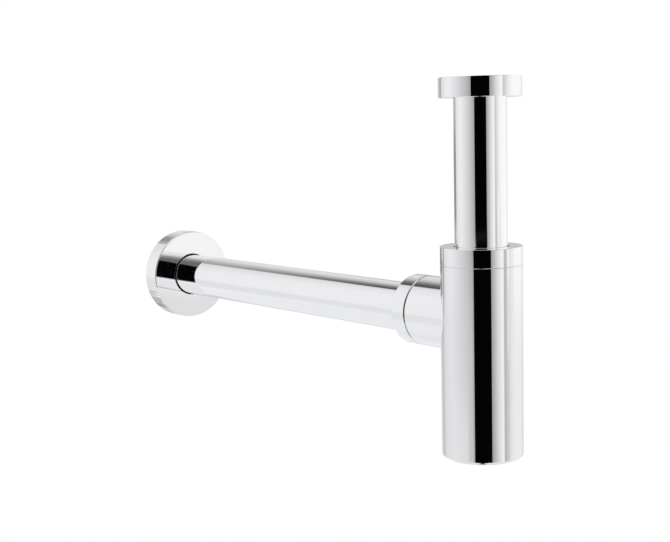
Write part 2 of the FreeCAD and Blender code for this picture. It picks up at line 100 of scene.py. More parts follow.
class Run(Enum):
    """The line that a piece is turned about."""

    UPRIGHT = "Z"
    OUTLET = "Y"

    @property
    def centre(self) -> Vector:
        """A point on the line, in metres."""
        height = (OUTLET_LOW.z + OUTLET_HIGH.z) / 2 if self is Run.OUTLET else 0.0
        return Vector((0.0, 0.0, height))

    @property
    def axis(self) -> Vector:
        """Direction of the line."""
        return Vector((0, 1, 0)) if self is Run.OUTLET else Vector((0, 0, 1))

    def drawn_round(self, share: float) -> Triple:
        """Scale that draws a pattern out round the line.

        Args:
            share: scale across the line, below 1.

        Returns:
            The scale along each axis.
        """
        return (share, 1.0, share) if self is Run.OUTLET else (share, share, 1.0)

    def place(self, radius: float, along: float) -> Vector:
        """Point at a radius and a place along the line.

        Args:
            radius: distance from the line, in millimetres.
            along: place on the line, in millimetres from the frame's origin.

        Returns:
            The point in metres.
        """
        return self.centre + Vector((radius * MM, 0, 0)) + self.axis * along * MM

    def measure(self, point: Vector) -> Span:
        """Radius and place of a point.

        Args:
            point: a point in metres.

        Returns:
            Its distance from the line and its place along it, in millimetres.
        """
        offset = point - self.centre
        along = offset.dot(self.axis)
        return (offset - self.axis * along).length / MM, along / MM


class Cut(Enum):
    """How one solid changes another."""

    ADD = "UNION"
    TAKE = "DIFFERENCE"


class Slot(Enum):
    """The record's material slots."""

    CHROME = "chrome"
    RUBBER = "rubber"
    NYLON = "nylon"


class Value:
    """A number in a shader, which takes part in Python arithmetic."""

    def __init__(self, sheet: "NodeSheet", socket: bpy.types.NodeSocket) -> None:
        """Keep the socket and the sheet that its maths is added to."""
        self.sheet = sheet
        self.socket = socket

    def maths(self, operation: str, *terms: Input) -> "Value":
        """Add one Math node.

        Args:
            operation: the node's operation.
            terms: its inputs, in order.

        Returns:
            The node's result.
        """
        inputs = dict(enumerate(terms))
        return self.sheet.value("ShaderNodeMath", {"operation": operation}, inputs)

    def __add__(self, other: Input) -> "Value":
        """Sum."""
        return self.maths("ADD", self, other)

    def __radd__(self, other: Input) -> "Value":
        """Sum with a number first."""
        return self.maths("ADD", other, self)

    def __sub__(self, other: Input) -> "Value":
        """Difference."""
        return self.maths("SUBTRACT", self, other)

    def __rsub__(self, other: Input) -> "Value":
        """Difference with a number first."""
        return self.maths("SUBTRACT", other, self)

    def __mul__(self, other: Input) -> "Value":
        """Product."""
        return self.maths("MULTIPLY", self, other)

    def __rmul__(self, other: Input) -> "Value":
        """Product with a number first."""
        return self.maths("MULTIPLY", other, self)

    def __truediv__(self, other: Input) -> "Value":
        """Quotient."""
        return self.maths("DIVIDE", self, other)

    def __rtruediv__(self, other: Input) -> "Value":
        """Quotient with a number first."""
        return self.maths("DIVIDE", other, self)

    def rise(self, low: float, high: float) -> "Value":
        """Smooth step.

        Args:
            low: where the step leaves 0.
            high: where it reaches 1.

        Returns:
            The step.
        """
        settings = {"interpolation_type": "SMOOTHSTEP"}
        inputs = {"Value": self, "From Min": low, "From Max": high}
        return self.sheet.value("ShaderNodeMapRange", settings, inputs)

    def between(self, low: float, high: float, edge: float) -> "Value":
        """Band with soft edges.

        Args:
            low: middle of the lower edge.
            high: middle of the upper edge.
            edge: width of each edge.

        Returns:
            1 inside the band and 0 outside it.
        """
        half = edge / 2
        return self.rise(low - half, low + half) * (1 - self.rise(high - half, high + half))


class NodeSheet:
    """A node tree that is written from code."""

    def __init__(self, tree: bpy.types.NodeTree) -> None:
        """Start from an empty tree."""
        self.tree = tree
        tree.nodes.clear()

    def add(
        self,
        kind: str,
        settings: Optional[Dict[str, Any]] = None,
        inputs: Optional[Dict[Union[str, int], Input]] = None,
    ) -> bpy.types.Node:
        """Add one node.

        Args:
            kind: the node's type.
            settings: its properties, and "stops" for a ramp's places and colours.
            inputs: values or links for its sockets, by name or number.

        Returns:
            The new node.
        """
        node = self.tree.nodes.new(kind)
        for name, setting in (settings or {}).items():
            if name == "stops":
                self.set_stops(node.color_ramp, setting)
            else:
                setattr(node, name, setting)
        for name, given in (inputs or {}).items():
            source = given.socket if isinstance(given, Value) else given
            if isinstance(source, bpy.types.NodeSocket):
                self.tree.links.new(source, node.inputs[name])
            else:
                node.inputs[name].default_value = source
        return node

    @staticmethod
    def set_stops(ramp: bpy.types.ColorRamp, stops: Sequence[Tuple[float, Colour]]) -> None:
        """Give a ramp its stops.

        Args:
            ramp: the ramp of a new node, which has two stops.
            stops: place and colour of each stop, in order.
        """
        while len(ramp.elements) < len(stops):
            ramp.elements.new(1.0)
        for element, (place, colour) in zip(ramp.elements, stops):
            element.position = place
            element.color = (*colour, 1.0)

    def value(
        self,
        kind: str,
        settings: Optional[Dict[str, Any]] = None,
        inputs: Optional[Dict[Union[str, int], Input]] = None,
        output: Union[str, int] = 0,
    ) -> Value:
        """Add one node and take one of its outputs.

        Args:
            kind: the node's type.
            settings: its properties.
            inputs: values or links for its sockets.
            output: name or number of the output.

        Returns:
            The output, ready for arithmetic.
        """
        return Value(self, self.add(kind, settings, inputs).outputs[output])

    def mix(self, share: Input, first: Input, second: Input) -> Value:
        """Mix two colours.

        Args:
            share: how much of the second colour shows.
            first: colour at share 0.
            second: colour at share 1.

        Returns:
            The mixed colour.
        """
        inputs = {MIX_SHARE: share, MIX_FIRST: first, MIX_SECOND: second}
        return self.value("ShaderNodeMix", {"data_type": "RGBA"}, inputs, MIX_RESULT)

    def stretched_noise(self, stretch: Triple, scale: float, detail: float) -> Value:
        """Noise on the object's own coordinates.

        Args:
            stretch: scale along each axis.
            scale: the noise's own scale, per metre.
            detail: how many finer layers it has.

        Returns:
            A number from 0 to 1.
        """
        place = self.value("ShaderNodeTexCoord", output="Object")
        mapped = self.value("ShaderNodeMapping", None, {"Vector": place, "Scale": stretch})
        inputs = {"Vector": mapped, "Scale": scale, "Detail": detail, "Roughness": 0.5}
        return self.value("ShaderNodeTexNoise", None, inputs)

    def share_along(self, vector: Value, line: Vector) -> Value:
        """How far a vector reaches along a line.

        Args:
            vector: a direction or a place.
            line: the line's direction, of length 1.

        Returns:
            The reach.
        """
        inputs = {0: vector, 1: line}
        return self.value("ShaderNodeVectorMath", {"operation": "DOT_PRODUCT"}, inputs, 1)

    def surface(self, fixed: Dict[str, Any], varied: Dict[str, Input]) -> None:
        """Add the main shader and the output.

        Args:
            fixed: sockets that hold one value all over.
            varied: sockets that change over the surface.
        """
        shader = self.add("ShaderNodeBsdfPrincipled", None, {**fixed, **varied})
        self.add("ShaderNodeOutputMaterial", None, {"Surface": shader.outputs["BSDF"]})

    def bump(self, height: Input, depth: float) -> Value:
        """Relief on the surface.

        Args:
            height: a number from 0 to 1.
            depth: the relief from 0 to 1, in metres.

        Returns:
            The bent normal.
        """
        inputs = {"Height": height, "Distance": depth, "Strength": 1.0}
        return self.value("ShaderNodeBump", None, inputs)


def new_sheet(name: str) -> Tuple[bpy.types.Material, NodeSheet]:
    """Start a material.

    Args:
        name: the material's name.

    Returns:
        The material and its empty sheet.
    """
    material = bpy.data.materials.new(name)
    material.use_nodes = True
    return material, NodeSheet(material.node_tree)


@dataclass(frozen=True)
class PolishedChrome:
    """Bright plating with the faint waviness and hairlines of a polished turned piece."""

    run: Run
    bright: Colour = (0.955, 0.957, 0.962)
    shaded: Colour = (0.925, 0.93, 0.938)
    roughness: float = 0.03
    haze: float = 0.03
    wave_scale: float = 26
    wave_depth: float = 2.2e-5
    hairline_scale: float = 5200
    hairline_draw: float = 0.25
    cloud_scale: float = 75

    def material(self) -> bpy.types.Material:
        """Write the plating's shader."""
        material, sheet = new_sheet("polished_chrome_" + self.run.name.lower())
        drawn = self.run.drawn_round(self.hairline_draw)
        waves = sheet.stretched_noise(EVEN, self.wave_scale, detail=1)
        hairlines = sheet.stretched_noise(drawn, self.hairline_scale, detail=2)
        cloud = sheet.stretched_noise(EVEN, self.cloud_scale, detail=3)
        rough = self.roughness + self.haze * cloud * hairlines
        varied = {
            "Base Color": sheet.mix(cloud, (*self.bright, 1), (*self.shaded, 1)),
            "Roughness": rough,
            "Normal": sheet.bump(waves, self.wave_depth),
        }
        sheet.surface({"Metallic": 1.0}, varied)
        return material


@dataclass(frozen=True)
class TurnedBrass:
    """Bare brass inside the nuts and the bottle, with turning rings and brown patches."""

    run: Run
    clean: Colour = (0.74, 0.55, 0.27)
    dull: Colour = (0.46, 0.31, 0.14)
    ring_scale: float = 3400
    ring_draw: float = 0.06
    ring_depth: float = 1.5e-5
    patch_scale: float = 160
    stain_range: Span = (0.42, 0.72)
    roughness: float = 0.22
    ring_roughness: float = 0.2
    stain_roughness: float = 0.15

    def material(self) -> bpy.types.Material:
        """Write the brass shader."""
        material, sheet = new_sheet("turned_brass_" + self.run.name.lower())
        drawn = self.run.drawn_round(self.ring_draw)
        rings = sheet.stretched_noise(drawn, self.ring_scale, detail=2)
        stain = sheet.stretched_noise(EVEN, self.patch_scale, detail=4).rise(*self.stain_range)
        rough = self.roughness + self.ring_roughness * rings + self.stain_roughness * stain
        varied = {
            "Base Color": sheet.mix(stain, (*self.clean, 1), (*self.dull, 1)),
            "Roughness": rough,
            "Normal": sheet.bump(rings, self.ring_depth),
        }
        sheet.surface({"Metallic": 1.0}, varied)
        return material


@dataclass(frozen=True)
class MouldedRubber:
    """Black rubber with a fine skin and a pale bloom."""

    black: Colour = (0.022, 0.022, 0.023)
    bloom: Colour = (0.075, 0.074, 0.072)
    skin_scale: float = 3800
    skin_depth: float = 1.2e-5
    dust_scale: float = 240
    dust_range: Span = (0.45, 0.8)
    roughness: float = 0.5
    skin_roughness: float = 0.2
    dust_roughness: float = 0.12
    gloss: float = 0.4

    def material(self) -> bpy.types.Material:
        """Write the rubber shader."""
        material, sheet = new_sheet("moulded_rubber")
        skin = sheet.stretched_noise(EVEN, self.skin_scale, detail=3)
        dust = sheet.stretched_noise(EVEN, self.dust_scale, detail=4).rise(*self.dust_range)
        rough = self.roughness + self.skin_roughness * skin + self.dust_roughness * dust
        varied = {
            "Base Color": sheet.mix(dust, (*self.black, 1), (*self.bloom, 1)),
            "Roughness": rough,
            "Normal": sheet.bump(skin, self.skin_depth),
        }
        sheet.surface({"Specular IOR Level": self.gloss}, varied)
        return material


@dataclass(frozen=True)
class MouldedNylon:
    """Milky plastic with faint flow marks."""

    pale: Colour = (0.82, 0.81, 0.77)
    creamy: Colour = (0.74, 0.715, 0.64)
    flow_scale: float = 120
    flow_draw: Triple = (1.0, 1.0, 0.25)
    flow_range: Span = (0.35, 0.75)
    grain_scale: float = 2600
    grain_depth: float = 8e-6
    roughness: float = 0.34
    grain_roughness: float = 0.16
    flow_roughness: float = 0.08
    gloss: float = 0.45

    def material(self) -> bpy.types.Material:
        """Write the plastic shader."""
        material, sheet = new_sheet("moulded_nylon")
        flow = sheet.stretched_noise(self.flow_draw, self.flow_scale, detail=3)
        grain = sheet.stretched_noise(EVEN, self.grain_scale, detail=2)
        cream = flow.rise(*self.flow_range)
        rough = self.roughness + self.grain_roughness * grain + self.flow_roughness * flow
        varied = {
            "Base Color": sheet.mix(cream, (*self.pale, 1), (*self.creamy, 1)),
            "Roughness": rough,
            "Normal": sheet.bump(grain, self.grain_depth),
        }
        sheet.surface({"Specular IOR Level": self.gloss}, varied)
        return material


@dataclass
class Finishes:
    """Every material of the trap, made once."""

    chrome: Dict[Run, bpy.types.Material]
    brass: Dict[Run, bpy.types.Material]
    rubber: bpy.types.Material
    nylon: bpy.types.Material

    @classmethod
    def make(cls) -> "Finishes":
        """Write all the shaders."""
        return cls(
            chrome={run: PolishedChrome(run).material() for run in Run},
            brass={run: TurnedBrass(run).material() for run in Run},
            rubber=MouldedRubber().material(),
            nylon=MouldedNylon().material(),
        )


def only(piece: bpy.types.Object) -> None:
    """Select one object alone and make it the active one."""
    bpy.ops.object.select_all(action="DESELECT")
    piece.select_set(True)
    bpy.context.view_layer.objects.active = piece


def select_points(piece: bpy.types.Object, spots: Sequence[Vector]) -> None:
    """Select the vertices at some places, in edit mode.

    Args:
        piece: the object in edit mode.
        spots: the places, in metres.
    """
    bpy.ops.mesh.select_all(action="DESELECT")
    mesh = bmesh.from_edit_mesh(piece.data)
    for vertex in mesh.verts:
        vertex.select_set(any((vertex.co - spot).length < OUTLINE_GAP for spot in spots))
    mesh.select_flush_mode()
    bmesh.update_edit_mesh(piece.data)


def draw_outline(name: str, run: Run, corners: Sequence[Corner]) -> bpy.types.Object:
    """Draw a closed outline by extruding one point from corner to corner.

    Args:
        name: the object's name.
        run: the line that the outline lies beside.
        corners: radius, place and rounding of each corner, in millimetres.

    Returns:
        The object, in edit mode.
    """
    bpy.ops.object.select_all(action="DESELECT")
    bpy.ops.mesh.primitive_plane_add(size=MM, location=(0, 0, 0), enter_editmode=True)
    piece = bpy.context.object
    piece.name = name
    bpy.ops.mesh.select_mode(type="VERT")
    bpy.ops.mesh.select_all(action="SELECT")
    bpy.ops.mesh.merge(type="CENTER")
    spots = [run.place(radius, along) for radius, along, _ in corners]
    bpy.ops.transform.translate(value=spots[0])
    for start, end in zip(spots, spots[1:] + spots[:1]):
        bpy.ops.mesh.extrude_region_move(TRANSFORM_OT_translate={"value": end - start})
    bpy.ops.mesh.select_all(action="SELECT")
    bpy.ops.mesh.remove_doubles(threshold=OUTLINE_GAP)
    for rounding in sorted({corner[2] for corner in corners} - {SHARP}):
        matching = [spot for spot, corner in zip(spots, corners) if corner[2] == rounding]
        select_points(piece, matching)
        bpy.ops.mesh.bevel(
            offset=rounding * MM, segments=ROUND_SEGMENTS, profile=0.5, affect="VERTICES"
        )
    return piece


def close_mesh() -> None:
    """Merge doubles and turn all faces outwards, in edit mode, and leave edit mode."""
    bpy.ops.mesh.select_all(action="SELECT")
    bpy.ops.mesh.remove_doubles(threshold=SOLID_GAP)
    bpy.ops.mesh.normals_make_consistent(inside=False)
    bpy.ops.object.mode_set(mode="OBJECT")


def turn(name: str, run: Run, corners: Sequence[Corner], steps: int = STEPS) -> bpy.types.Object:
    """Turn an outline to a closed solid.

    Args:
        name: the piece's name.
        run: the line to turn about.
        corners: radius, place and rounding of each corner, in millimetres.
        steps: how many steps make the full turn.

    Returns:
        The solid.
    """
    piece = draw_outline(name, run, corners)
    bpy.ops.mesh.select_all(action="SELECT")
    bpy.ops.mesh.spin(
        steps=steps, angle=math.tau, center=run.centre, axis=run.axis, use_auto_merge=True
    )
    close_mesh()
    return piece


def change(base: bpy.types.Object, tool: bpy.types.Object, how: Cut) -> None:
    """Add a solid to another or take it away.

    Args:
        base: the solid that stays.
        tool: the solid that is used up.
        how: add or take.
    """
    only(base)
    bpy.ops.object.modifier_add(type="BOOLEAN")
    modifier = base.modifiers[-1]
    modifier.operation = how.value
    modifier.solver = "EXACT"
    modifier.object = tool
    bpy.ops.object.modifier_apply(modifier=modifier.name)
    bpy.data.objects.remove(tool)


def join(base: bpy.types.Object, parts: Sequence[bpy.types.Object]) -> None:
    """Make several objects one.

    Args:
        base: the object that stays.
        parts: the objects that become part of it.
    """
    only(base)
    for part in parts:
        part.select_set(True)
    bpy.ops.object.join()


def crease_between_coats(piece: bpy.types.Object) -> None:
    """Mark the edges where two finishes meet as sharp.

    Args:
        piece: the piece, with a finish on every face.
    """
    only(piece)
    bpy.ops.object.mode_set(mode="EDIT")
    bpy.ops.mesh.select_mode(type="EDGE")
    bpy.ops.mesh.select_all(action="DESELECT")
    mesh = bmesh.from_edit_mesh(piece.data)
    for edge in mesh.edges:
        edge.select_set(len({face.material_index for face in edge.link_faces}) > 1)
    bmesh.update_edit_mesh(piece.data)
    bpy.ops.mesh.mark_sharp()
    bpy.ops.object.mode_set(mode="OBJECT")


def smooth(piece: bpy.types.Object, sharpness: float = 32) -> None:
    """Shade a piece smooth, with the large faces true and the rounded edges soft.

    Args:
        piece: the piece.
        sharpness: the angle in degrees from which an edge stays sharp.
    """
    only(piece)
    bpy.ops.object.shade_smooth_by_angle(angle=math.radians(sharpness))
    bpy.ops.object.modifier_add(type="WEIGHTED_NORMAL")
    modifier = piece.modifiers[-1]
    modifier.mode = "FACE_AREA"
    modifier.weight = 50
    modifier.keep_sharp = True
    bpy.ops.object.modifier_apply(modifier=modifier.name)


@dataclass
class Ridge:
    """The ridge of a screw thread, swept round a run from one section."""

    run: Run
    root: float
    crest: float
    start: float
    turns: float
    pitch: float = PITCH
    root_half: float = 0.42
    crest_half: float = 0.13
    steps: int = THREAD_STEPS

    def make(self, name: str, material: bpy.types.Material) -> bpy.types.Object:
        """Sweep the section along the thread and close its ends.

        Args:
            name: the ridge's name.
            material: its finish.

        Returns:
            The ridge.
        """
        section = [
            (self.root, self.start - self.root_half, SHARP),
            (self.crest, self.start - self.crest_half, SHARP),
            (self.crest, self.start + self.crest_half, SHARP),
            (self.root, self.start + self.root_half, SHARP),
        ]
        ridge = draw_outline(name, self.run, section)
        bpy.ops.object.mode_set(mode="OBJECT")
        bpy.context.scene.cursor.location = self.run.centre
        bpy.ops.object.origin_set(type="ORIGIN_CURSOR")
        bpy.ops.object.modifier_add(type="SCREW")
        sweep = ridge.modifiers[-1]
        sweep.axis = self.run.value
        sweep.angle = math.tau * self.turns
        sweep.screw_offset = self.pitch * self.turns * MM
        sweep.steps = sweep.render_steps = round(self.steps * self.turns)
        bpy.ops.object.modifier_apply(modifier=sweep.name)
        bpy.ops.object.transform_apply(location=True, rotation=True, scale=True)
        bpy.ops.object.mode_set(mode="EDIT")
        bpy.ops.mesh.select_all(action="DESELECT")
        bpy.ops.mesh.select_non_manifold()
        bpy.ops.mesh.edge_face_add()
        close_mesh()
        ridge.data.materials.append(material)
        return ridge


@dataclass
class Assembly:
    """What every sub-assembly shares: its finishes and how its pieces are handed over."""

    finishes: Finishes

    def plate(
        self, piece: bpy.types.Object, run: Run, is_bare: Callable[[float, float], bool]
    ) -> None:
        """Chrome a piece, leave its inner faces bare brass and shade it smooth.

        Args:
            piece: the piece.
            run: the line that it is turned about.
            is_bare: test on a face's radius and place along the run, in millimetres.
        """
        piece.data.materials.append(self.finishes.chrome[run])
        piece.data.materials.append(self.finishes.brass[run])
        for face in piece.data.polygons:
            face.material_index = int(is_bare(*run.measure(face.center)))
        smooth(piece)

    def small_piece(
        self, name: str, run: Run, corners: Sequence[Corner], material: bpy.types.Material
    ) -> bpy.types.Object:
        """Turn a small piece with one finish.

        Args:
            name: the piece's name.
            run: the line to turn about.
            corners: radius, place and rounding of each corner, in millimetres.
            material: its finish.

        Returns:
            The piece.
        """
        piece = turn(name, run, corners, steps=SMALL_STEPS)
        piece.data.materials.append(material)
        smooth(piece)
        return piece

    def hand_over(self, piece: bpy.types.Object, node: str, body: str, slot: Slot) -> None:
        """Let a finished piece stand for its solid and move with its body.

        Args:
            piece: the piece.
            node: the solid that it replaces.
            body: the body that it rides on.
            slot: the record's material slot, not used.
        """
        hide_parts(node)
        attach(piece, body)
        log.info("%s: %d faces on %s", piece.name, len(piece.data.polygons), body)


@dataclass
class InletSet(Assembly):
    """Nut under the basin, its gasket and slip ring, and the sliding inlet tube."""

    nut_radius: float = 25.0
    nut_base: float = -12.0
    shelf: float = -9.8
    step: float = -5.0
    thread_radius: float = 20.955
    thread_pitch: float = 2.309
    seat_radius: float = 19.5
    hole_radius: float = 16.8
    edge: float = 0.14
    lead_in: float = 0.4
    thread_sink: float = 0.1
    thread_clear: float = 0.15
    thread_start: float = 0.95
    thread_turns: float = 1.2
    thread_root_half: float = 0.9
    thread_crest_half: float = 0.3
    tube_radius: float = 16.0
    bore_radius: float = 15.0
    tube_end: float = -163.0
    rim_radius: float = 19.2
    rim_top: float = -7.3
    rim_base: float = -8.9
    gasket_top: float = -5.3
    gasket_radius: float = 14.5
    bead_height: float = 0.25
    bead_foot: float = 0.7
    bead_crest: float = 0.35
    ring_radius: float = 16.3
    ring_play: float = 0.02

    def nut(self) -> bpy.types.Object:
        """Turn the nut and cut its inside thread."""
        run = Run.UPRIGHT
        piece = turn(
            "inlet_nut_piece",
            run,
            [
                (self.hole_radius, self.nut_base, BROKEN),
                (self.nut_radius - self.edge, self.nut_base, CRISP),
                (self.nut_radius, self.nut_base + self.edge, CRISP),
                (self.nut_radius, -self.edge, CRISP),
                (self.nut_radius - self.edge, 0.0, CRISP),
                (self.thread_radius + self.lead_in, 0.0, EASED),
                (self.thread_radius, -self.lead_in, EASED),
                (self.thread_radius, self.step, SHARP),
                (self.seat_radius, self.step, EASED),
                (self.seat_radius, self.shelf, SHARP),
                (self.hole_radius, self.shelf, EASED),
            ],
        )
        wall, plate = self.thread_radius + WALL_SKIN, self.nut_base + PLATE_SKIN
        self.plate(piece, run, lambda radius, along: radius < wall and along > plate)
        ridge = Ridge(
            run,
            root=self.thread_radius + self.thread_sink,
            crest=self.seat_radius + self.thread_clear,
            start=self.step + self.thread_start,
            turns=self.thread_turns,
            pitch=self.thread_pitch,
            root_half=self.thread_root_half,
            crest_half=self.thread_crest_half,
        )
        join(piece, [ridge.make("inlet_thread", self.finishes.brass[run])])
        return piece

    def tube(self) -> bpy.types.Object:
        """Turn the tube with its rim."""
        run = Run.UPRIGHT
        piece = turn(
            "inlet_tube_piece",
            run,
            [
                (self.bore_radius, self.tube_end, SOFT),
                (self.tube_radius, self.tube_end, ROUND),
                (self.tube_radius, self.rim_base, ROUND),
                (self.rim_radius, self.rim_base, MILD),
                (self.rim_radius, self.rim_top, MILD),
                (self.bore_radius, self.rim_top, ROUND),
            ],
        )
        self.plate(piece, run, lambda radius, along: radius < self.bore_radius + BORE_SKIN)
        return piece

    def gasket(self) -> bpy.types.Object:
        """Turn the gasket, with a raised sealing bead on its face."""
        middle = (self.gasket_radius + self.rim_radius) / 2
        face = self.gasket_top - self.bead_height
        return self.small_piece(
            "inlet_gasket_piece",
            Run.UPRIGHT,
            [
                (self.gasket_radius, self.rim_top, SOFT),
                (self.rim_radius, self.rim_top, SOFT),
                (self.rim_radius, face, SOFT),
                (middle + self.bead_foot, face, EASED),
                (middle + self.bead_crest, self.gasket_top, EASED),
                (middle - self.bead_crest, self.gasket_top, EASED),
                (middle - self.bead_foot, face, EASED),
                (self.gasket_radius, face, SOFT),
            ],
            self.finishes.rubber,
        )

    def slip_ring(self) -> bpy.types.Object:
        """Turn the slip ring under the tube's rim, with a little play on the nut's shelf."""
        base = self.shelf + self.ring_play
        return self.small_piece(
            "inlet_slip_ring_piece",
            Run.UPRIGHT,
            [
                (self.ring_radius, base, SOFT),
                (self.rim_radius, base, SOFT),
                (self.rim_radius, self.rim_base, SOFT),
                (self.ring_radius, self.rim_base, SOFT),
            ],
            self.finishes.nylon,
        )

    def build(self) -> None:
        """Make the pieces and hand them over."""
        self.hand_over(self.nut(), "inlet_nut", "inlet_nut", Slot.CHROME)
        self.hand_over(self.tube(), "inlet_tube", "inlet_tube", Slot.CHROME)
        self.hand_over(self.gasket(), "inlet_gasket", "inlet_tube", Slot.RUBBER)
        self.hand_over(self.slip_ring(), "inlet_slip_ring", "inlet_slip_ring", Slot.NYLON)


@dataclass
class SealSizes:
    """Cone seal, slip ring and nut plate that grip a tube, measured from the seal's wide end."""

    grip_radius: float = 16.05
    ring_radius: float = 16.3
    hole_radius: float = 16.8
    wide_radius: float = 19.0
    tip_radius: float = 17.2
    fit: float = 0.1
    land: float = 1.8
    height: float = 7.0
    ring: float = 0.9
    plate: float = 2.2
    groove_low: float = 0.6
    groove_middle: float = 0.8
    groove_high: float = 1.0
    groove_depth: float = 0.3


@dataclass
class GripSet(Assembly):
    """Threaded nut, slip ring and cone seal that hold a tube in a neck."""

    seal: SealSizes
    run: Run
    name: str
    nut_body: str
    ring_body: str
    seal_body: str
    outer_radius: float
    thread_radius: float
    mouth: float
    face: float
    face_edge: float = 0.14
    mouth_edge: float = 0.14
    thread_start: float = 0.75
    thread_turns: float = 4.0

    @property
    def shelf(self) -> float:
        """Inner face of the nut's plate."""
        return self.face - self.seal.plate

    @property
    def seal_top(self) -> float:
        """Wide end of the cone seal."""
        return self.shelf - self.seal.ring

    def nut(self) -> bpy.types.Object:
        """Turn the nut and cut its inside thread."""
        wall = self.thread_radius + THREAD_ROOM
        piece = turn(
            self.name + "_nut_piece",
            self.run,
            [
                (wall, self.mouth, BROKEN),
                (self.outer_radius - self.mouth_edge, self.mouth, CRISP),
                (self.outer_radius, self.mouth + self.mouth_edge, CRISP),
                (self.outer_radius, self.face - self.face_edge, CRISP),
                (self.outer_radius - self.face_edge, self.face, CRISP),
                (self.seal.hole_radius, self.face, SOFT),
                (self.seal.hole_radius, self.shelf, EASED),
                (wall, self.shelf, SHARP),
            ],
        )
        skin, plate = wall + WALL_SKIN, self.face - PLATE_SKIN
        self.plate(piece, self.run, lambda radius, along: radius < skin and along < plate)
        ridge = Ridge(
            self.run,
            root=wall + ROOT_SINK,
            crest=self.thread_radius - CREST_REACH,
            start=self.mouth + self.thread_start,
            turns=self.thread_turns,
        )
        join(piece, [ridge.make(self.name + "_nut_thread", self.finishes.brass[self.run])])
        return piece

    def slip_ring(self) -> bpy.types.Object:
        """Turn the slip ring between the seal and the nut's plate."""
        seal = self.seal
        return self.small_piece(
            self.name + "_slip_ring_piece",
            self.run,
            [
                (seal.ring_radius, self.seal_top, SOFT),
                (seal.wide_radius, self.seal_top, SOFT),
                (seal.wide_radius, self.shelf, SOFT),
                (seal.ring_radius, self.shelf, SOFT),
            ],
            self.finishes.nylon,
        )

    def cone_seal(self) -> bpy.types.Object:
        """Turn the rubber cone, with a grip groove round its land."""
        seal = self.seal
        top = self.seal_top
        land = top - seal.land
        return self.small_piece(
            self.name + "_cone_seal_piece",
            self.run,
            [
                (seal.grip_radius, top - seal.height, MILD),
                (seal.tip_radius, top - seal.height, ROUND),
                (seal.wide_radius, land, ROUND),
                (seal.wide_radius, land + seal.groove_low, EASED),
                (seal.wide_radius - seal.groove_depth, land + seal.groove_middle, EASED),
                (seal.wide_radius, land + seal.groove_high, EASED),
                (seal.wide_radius, top, ROUND),
                (seal.grip_radius, top, MILD),
            ],
            self.finishes.rubber,
        )

    def build(self) -> None:
        """Make the pieces and hand them over."""
        name = self.name
        self.hand_over(self.nut(), name + "_nut", self.nut_body, Slot.CHROME)
        self.hand_over(self.slip_ring(), name + "_slip_ring", self.ring_body, Slot.NYLON)
        self.hand_over(self.cone_seal(), name + "_cone_seal", self.seal_body, Slot.RUBBER)


